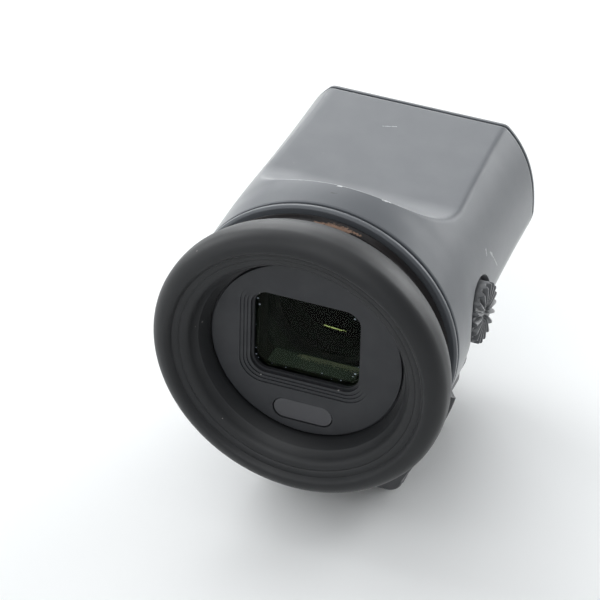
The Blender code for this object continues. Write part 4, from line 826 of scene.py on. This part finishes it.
# painted glint: a glowing streak on the rear lens, standing in for light caught by its edge
add_painted_glint(lens_glass, (-1.1, -12.0, 26.25), (1.9, -12.0, 26.05), 0.13, (0.42, 0.40, 0.17))
for name, node, edge, crown in (("rear_lens", "eye_lens", 1.4 * mm, 1.4 * mm),
                                ("front_lens", "field_lens", 1.2 * mm, 1.1 * mm)):
    low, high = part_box(node)
    first_sag = crown * (1 - (1 / lens_rows) ** 2)
    piece = lens(name, low[1] + first_sag, edge, crown, (high[0] - low[0]) / 2)
    coat(piece, lens_glass)
    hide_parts(node)
    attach(piece, "lens_group")

# Eyepiece bezel and window: a flat moulded disc with a stepped frame and a slot for the eye sensor. The
# window is a flat coated glass, bonded behind the last step.

bezel_y = -21.8 * mm
frame_centre = (-0.3 * mm, axis_z + 1.0 * mm)


def step_outline(shrink):
    """Outline of one step of the frame; each step is smaller than the one before it."""
    width, height = 17.7 * mm - 2 * shrink, 15.3 * mm - 2 * shrink
    corner = 3.2 * mm - 0.7 * shrink
    return rounded_rectangle(frame_centre, width, height, corner, 12)


outline = ((0.01, -21.8), (13.0, -21.8), (13.0, -21.2), (15.3, -21.2), (15.3, -20.0), (13.6, -20.0),
           (13.6, -18.4), (0.01, -18.4))
bezel = lathe("bezel_disc", softened(metres(outline), 0.08 * mm, closed=False, steps=3), closed=False)
before, behind = bezel_y - 1 * mm, bezel_y + 5 * mm
tools = []
for shrink, depth in ((0.0, 0.15), (0.45, 0.30), (0.85, 0.45), (1.3, 0.95)):
    tools.append(extrude("step", step_outline(shrink * mm), before, bezel_y + depth * mm, "Y"))
tools.append(extrude("opening", step_outline(1.6 * mm), before, behind, "Y"))
seat = rounded_rectangle(frame_centre, 15.9 * mm, 13.5 * mm, 1.2 * mm)
tools.append(extrude("seat", seat, bezel_y + 1.4 * mm, behind, "Y"))
slot = rounded_rectangle((-0.3 * mm, axis_z - 10.0 * mm), 8.3 * mm, 3.2 * mm, 1.6 * mm, 20)
tools.append(extrude("sensor_slot", slot, before, behind, "Y"))
carve(bezel, tools)
break_edges(bezel, 0.06 * mm, 50)
bezel_black = finish_material("bezel_black", (0.024, 0.025, 0.028), (0.021, 0.022, 0.025), 0.52,
                              specular=0.35, grain_scale=8000.0, bump=0.18, dust_amount=0.02,
                              dust_scale=1600.0)
coat(bezel, bezel_black)
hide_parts("eyepiece_bezel")
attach(bezel, "head")

window_glass = glass_material("window_glass", (0.46, 0.58, 0.47), (0.42, 0.54, 0.44), 1.12)
low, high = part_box("eyepiece_window")
middle = ((low[0] + high[0]) / 2, (low[2] + high[2]) / 2)
outline = rounded_rectangle(middle, high[0] - low[0], high[2] - low[2], 1.0 * mm, 12)
window = extrude("window_pane", outline, low[1], high[1], "Y")
coat(window, window_glass)
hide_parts("eyepiece_window")
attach(window, "head")

# Light baffle and dust: a moulded brown-black frame behind the window, with fine ribs on its floor that keep
# stray light out of the eye. A little dust has settled along the window's edges.

baffle = extrude("light_baffle", rounded_rectangle(frame_centre, 14.9 * mm, 13.0 * mm, 2.4 * mm),
                 -19.35 * mm, -16.35 * mm, "Y")
light_way = rounded_rectangle(frame_centre, 14.1 * mm, 12.0 * mm, 2.0 * mm)
carve(baffle, [extrude("light_way", light_way, -20 * mm, -15 * mm, "Y")])
teeth, spacing = 7, 0.4
saw = [(-19.3 * mm, 23.7 * mm)]
for tooth in range(teeth):
    saw += [((-19.2 + spacing * tooth) * mm, 24.05 * mm), ((-19.0 + spacing * tooth) * mm, 24.35 * mm)]
saw.append((-16.4 * mm, 23.7 * mm))
carve(baffle, [extrude("ribs", saw, -6.2 * mm, 6.1 * mm, "X")], "UNION")
baffle_brown = finish_material("baffle_brown", (0.030, 0.024, 0.020), (0.024, 0.019, 0.016), 0.45,
                               grain_scale=5000.0)
# Painted light: a lighter tan patch on the ribs, standing in for light that falls on them through the window
add_marks(baffle_brown, (((-2.0, -16.7, 24.2), (6.0, -16.8, 24.2), 1.0),), (0.22, 0.155, 0.115))
coat(baffle, baffle_brown)
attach(baffle, "head")

# Place along X and Z and radius of each speck, in millimetres
dust_rows = ((-7.3, 34.3, 0.13), (-7.05, 33.4, 0.14), (-7.45, 35.0, 0.07), (-7.45, 26.4, 0.09),
             (-7.4, 25.4, 0.12), (-7.1, 24.9, 0.08), (-0.8, 35.7, 0.10), (5.9, 34.7, 0.13),
             (6.2, 26.1, 0.15), (5.9, 25.6, 0.08), (4.3, 24.5, 0.10), (1.7, 24.9, 0.09),
             (-3.3, 24.4, 0.08), (-5.2, 24.5, 0.05), (6.6, 27.3, 0.06), (3.0, 24.3, 0.05), (-7.5, 30.1, 0.05))
dust_y = -20.27 * mm            # just inside the pane's rear face
flattened = Matrix.Diagonal((1.0, 0.25, 0.8, 1.0))
bm = bmesh.new()
for x, z, radius in dust_rows:
    place = Matrix.Translation((x * mm, dust_y, z * mm)) @ flattened
    bmesh.ops.create_icosphere(bm, subdivisions=2, radius=radius * mm, matrix=place)
mesh = bpy.data.meshes.new("window_dust")
bm.to_mesh(mesh)
bm.free()
window_dust = bpy.data.objects.new("window_dust", mesh)
bpy.context.scene.collection.objects.link(window_dust)
dust_grey = finish_material("dust_grey", (0.42, 0.47, 0.56), (0.24, 0.28, 0.34), 0.9, mottle_scale=5000.0)
coat(window_dust, dust_grey)
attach(window_dust, "head")

# Eye sensor: a small window of dark plastic that lets infrared light through, set in the bezel's slot. It
# covers an emitter and a receiver, which tell that an eye is at the finder.

sensor_black = finish_material("sensor_black", (0.052, 0.052, 0.058), (0.048, 0.048, 0.053), 0.35,
                               specular=0.4, grain_scale=5000.0, bump=0.05)
dress(["sensor_window"], sensor_black, 0.00012)

# Eyecup: one moulding of soft black rubber with a rolled rim, two fine grooves, a small inner lip and a
# conical bowl. It is stretched over the bezel's edge and clamped by the gloss ring.

rubber = finish_material("eyecup_rubber", (0.0092, 0.0098, 0.0112), (0.0080, 0.0086, 0.0098), 0.47,
                         specular=0.32, grain_scale=6500.0, mottle_scale=260.0, bump=0.25, bump_depth=0.00002,
                         gloss_swing=0.03, dust_amount=0.006, dust_scale=1600.0,
                         dust_colour=(0.16, 0.15, 0.145), sheen=0.1)
outline = [(13.3, -21.8), (13.5, -22.25), (14.1, -23.65), (14.16, -23.72), (14.24, -23.76), (14.8, -24.75),
           (14.98, -25.05), (15.2, -25.28), (15.5, -25.42), (16.0, -25.52), (16.08, -25.47), (16.15, -25.47),
           (16.23, -25.56), (16.85, -25.74), (16.95, -25.7), (17.02, -25.72), (17.1, -25.85),
           (17.3, -26.14), (17.5, -26.32)]
roll, roll_steps = 2.3, 16      # the rolled rim's radius in millimetres
for step in range(roll_steps + 1):
    angle = math.pi / 2 * step / roll_steps
    outline.append((17.7 + roll * math.sin(angle), -26.4 + roll * (1 - math.cos(angle))))
outline += [(20.0, -23.3), (19.92, -22.6), (19.7, -21.8), (19.35, -20.95), (18.85, -20.05), (18.5, -19.5),
            (18.25, -19.15), (18.05, -18.97), (17.9, -18.9), (15.8, -18.9), (15.8, -21.5), (13.3, -21.5)]
eyecup = lathe("rubber_eyecup", metres(outline), 256)
coat(eyecup, rubber)
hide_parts("eyecup")
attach(eyecup, "head")

# Studio: white sweep under the finder, broad soft lights all round with the strongest behind, and a white
# surround. The camera looks down into the eyecup from behind the finder and slightly to its right.

floor = brick("floor", (-2, -2, -2 * mm), (2, 2, -0.001 * mm))
paper = finish_material("white_sweep", (0.93, 0.935, 0.935), (0.925, 0.93, 0.93), 0.9, specular=0.1,
                        grain_scale=900.0, mottle_scale=8.0, bump=0.0)
coat(floor, paper)

world = bpy.data.worlds.new("surround")
world.use_nodes = True
bpy.context.scene.world = world
tree = world.node_tree
background = tree.nodes["Background"]
background.inputs["Color"].default_value = (0.97, 0.985, 1.0, 1.0)
rays = tree.nodes.new("ShaderNodeLightPath")
seen = math_node(tree, "MAXIMUM", rays.outputs["Is Camera Ray"], rays.outputs["Is Glossy Ray"])
seen = math_node(tree, "MAXIMUM", seen, rays.outputs["Is Transmission Ray"])
lit_strength, seen_strength = 0.03, 0.75        # for light on the finder, and for what is seen or mirrored
strength = tree.nodes.new("ShaderNodeMapRange")
strength.inputs["To Min"].default_value = lit_strength
strength.inputs["To Max"].default_value = seen_strength
tree.links.new(seen, strength.inputs["Value"])
tree.links.new(strength.outputs["Result"], background.inputs["Strength"])


lamp_distance = 0.75
lamp_colour = (0.97, 0.99, 1.0)


def soft_light(name, azimuth, elevation, size, power):
    """Square soft light that faces the finder. Azimuth 0 is on the -Y side, 90 on the +X side."""
    a, e = math.radians(azimuth), math.radians(elevation)
    away = Vector((math.sin(a) * math.cos(e), -math.cos(a) * math.cos(e), math.sin(e)))
    data = bpy.data.lights.new(name, "AREA")
    data.shape = "SQUARE"
    data.size = size
    data.energy = power
    data.color = lamp_colour
    lamp = bpy.data.objects.new(name, data)
    lamp.location = Vector((0, 0, 0.025)) + away * lamp_distance
    lamp.rotation_mode = "QUATERNION"
    lamp.rotation_quaternion = away.to_track_quat("Z", "Y")
    bpy.context.scene.collection.objects.link(lamp)


# Name, azimuth and elevation in degrees, side in metres, power in watts
lamps = (("back_right", 150, 18, 0.45, 3.6), ("back_left", -152, 21, 0.45, 2.4),
         ("overhead", 0, 90, 0.80, 2.2), ("back_high", -158, 45, 0.40, 0.6),
         ("front_high", 0, 45, 0.50, 1.6), ("front_left", -45, 18, 0.45, 0.9),
         ("front_low", 0, 18, 0.45, 0.5), ("left_high", -105, 45, 0.50, 1.5),
         ("left_low", -98, 18, 0.45, 1.8))
for name, azimuth, elevation, size, power in lamps:
    soft_light(name, azimuth, elevation, size, power)


def aim_camera():
    """Camera at the photograph's viewing angle: placed from its bearing, height, roll and picture scale."""
    bearing, height, roll = math.radians(20.34), math.radians(35.89), math.radians(1.49)
    picture, focal = 600.0, 3800.0          # width of the picture and focal length, in pixels
    distance = 483.5 * mm
    seen_x, seen_y = 299.9, 360.7           # where the middle of the eyecup's rim stands in the picture
    right = Vector((math.cos(bearing), math.sin(bearing), 0))
    back = Vector((math.sin(bearing) * math.cos(height), -math.cos(bearing) * math.cos(height),
                   math.sin(height)))
    up = back.cross(right)
    right_rolled = right * math.cos(roll) + up * math.sin(roll)
    up_rolled = up * math.cos(roll) - right * math.sin(roll)
    rim_centre = Vector((0, -24 * mm, axis_z))
    eye = rim_centre + back * distance
    eye -= right_rolled * ((seen_x - picture / 2) / focal * distance)
    eye += up_rolled * ((seen_y - picture / 2) / focal * distance)
    data = bpy.data.cameras.new("camera")
    sensor = 36.0
    data.sensor_width = sensor
    data.lens = sensor * focal / picture
    data.clip_start, data.clip_end = 0.01, 20.0
    camera = bpy.data.objects.new("camera", data)
    turn = Matrix((right_rolled, up_rolled, back)).transposed()
    camera.matrix_world = Matrix.Translation(eye) @ turn.to_4x4()
    bpy.context.scene.collection.objects.link(camera)
    bpy.context.scene.camera = camera


aim_camera()
bpy.context.scene.view_settings.view_transform = "Standard"
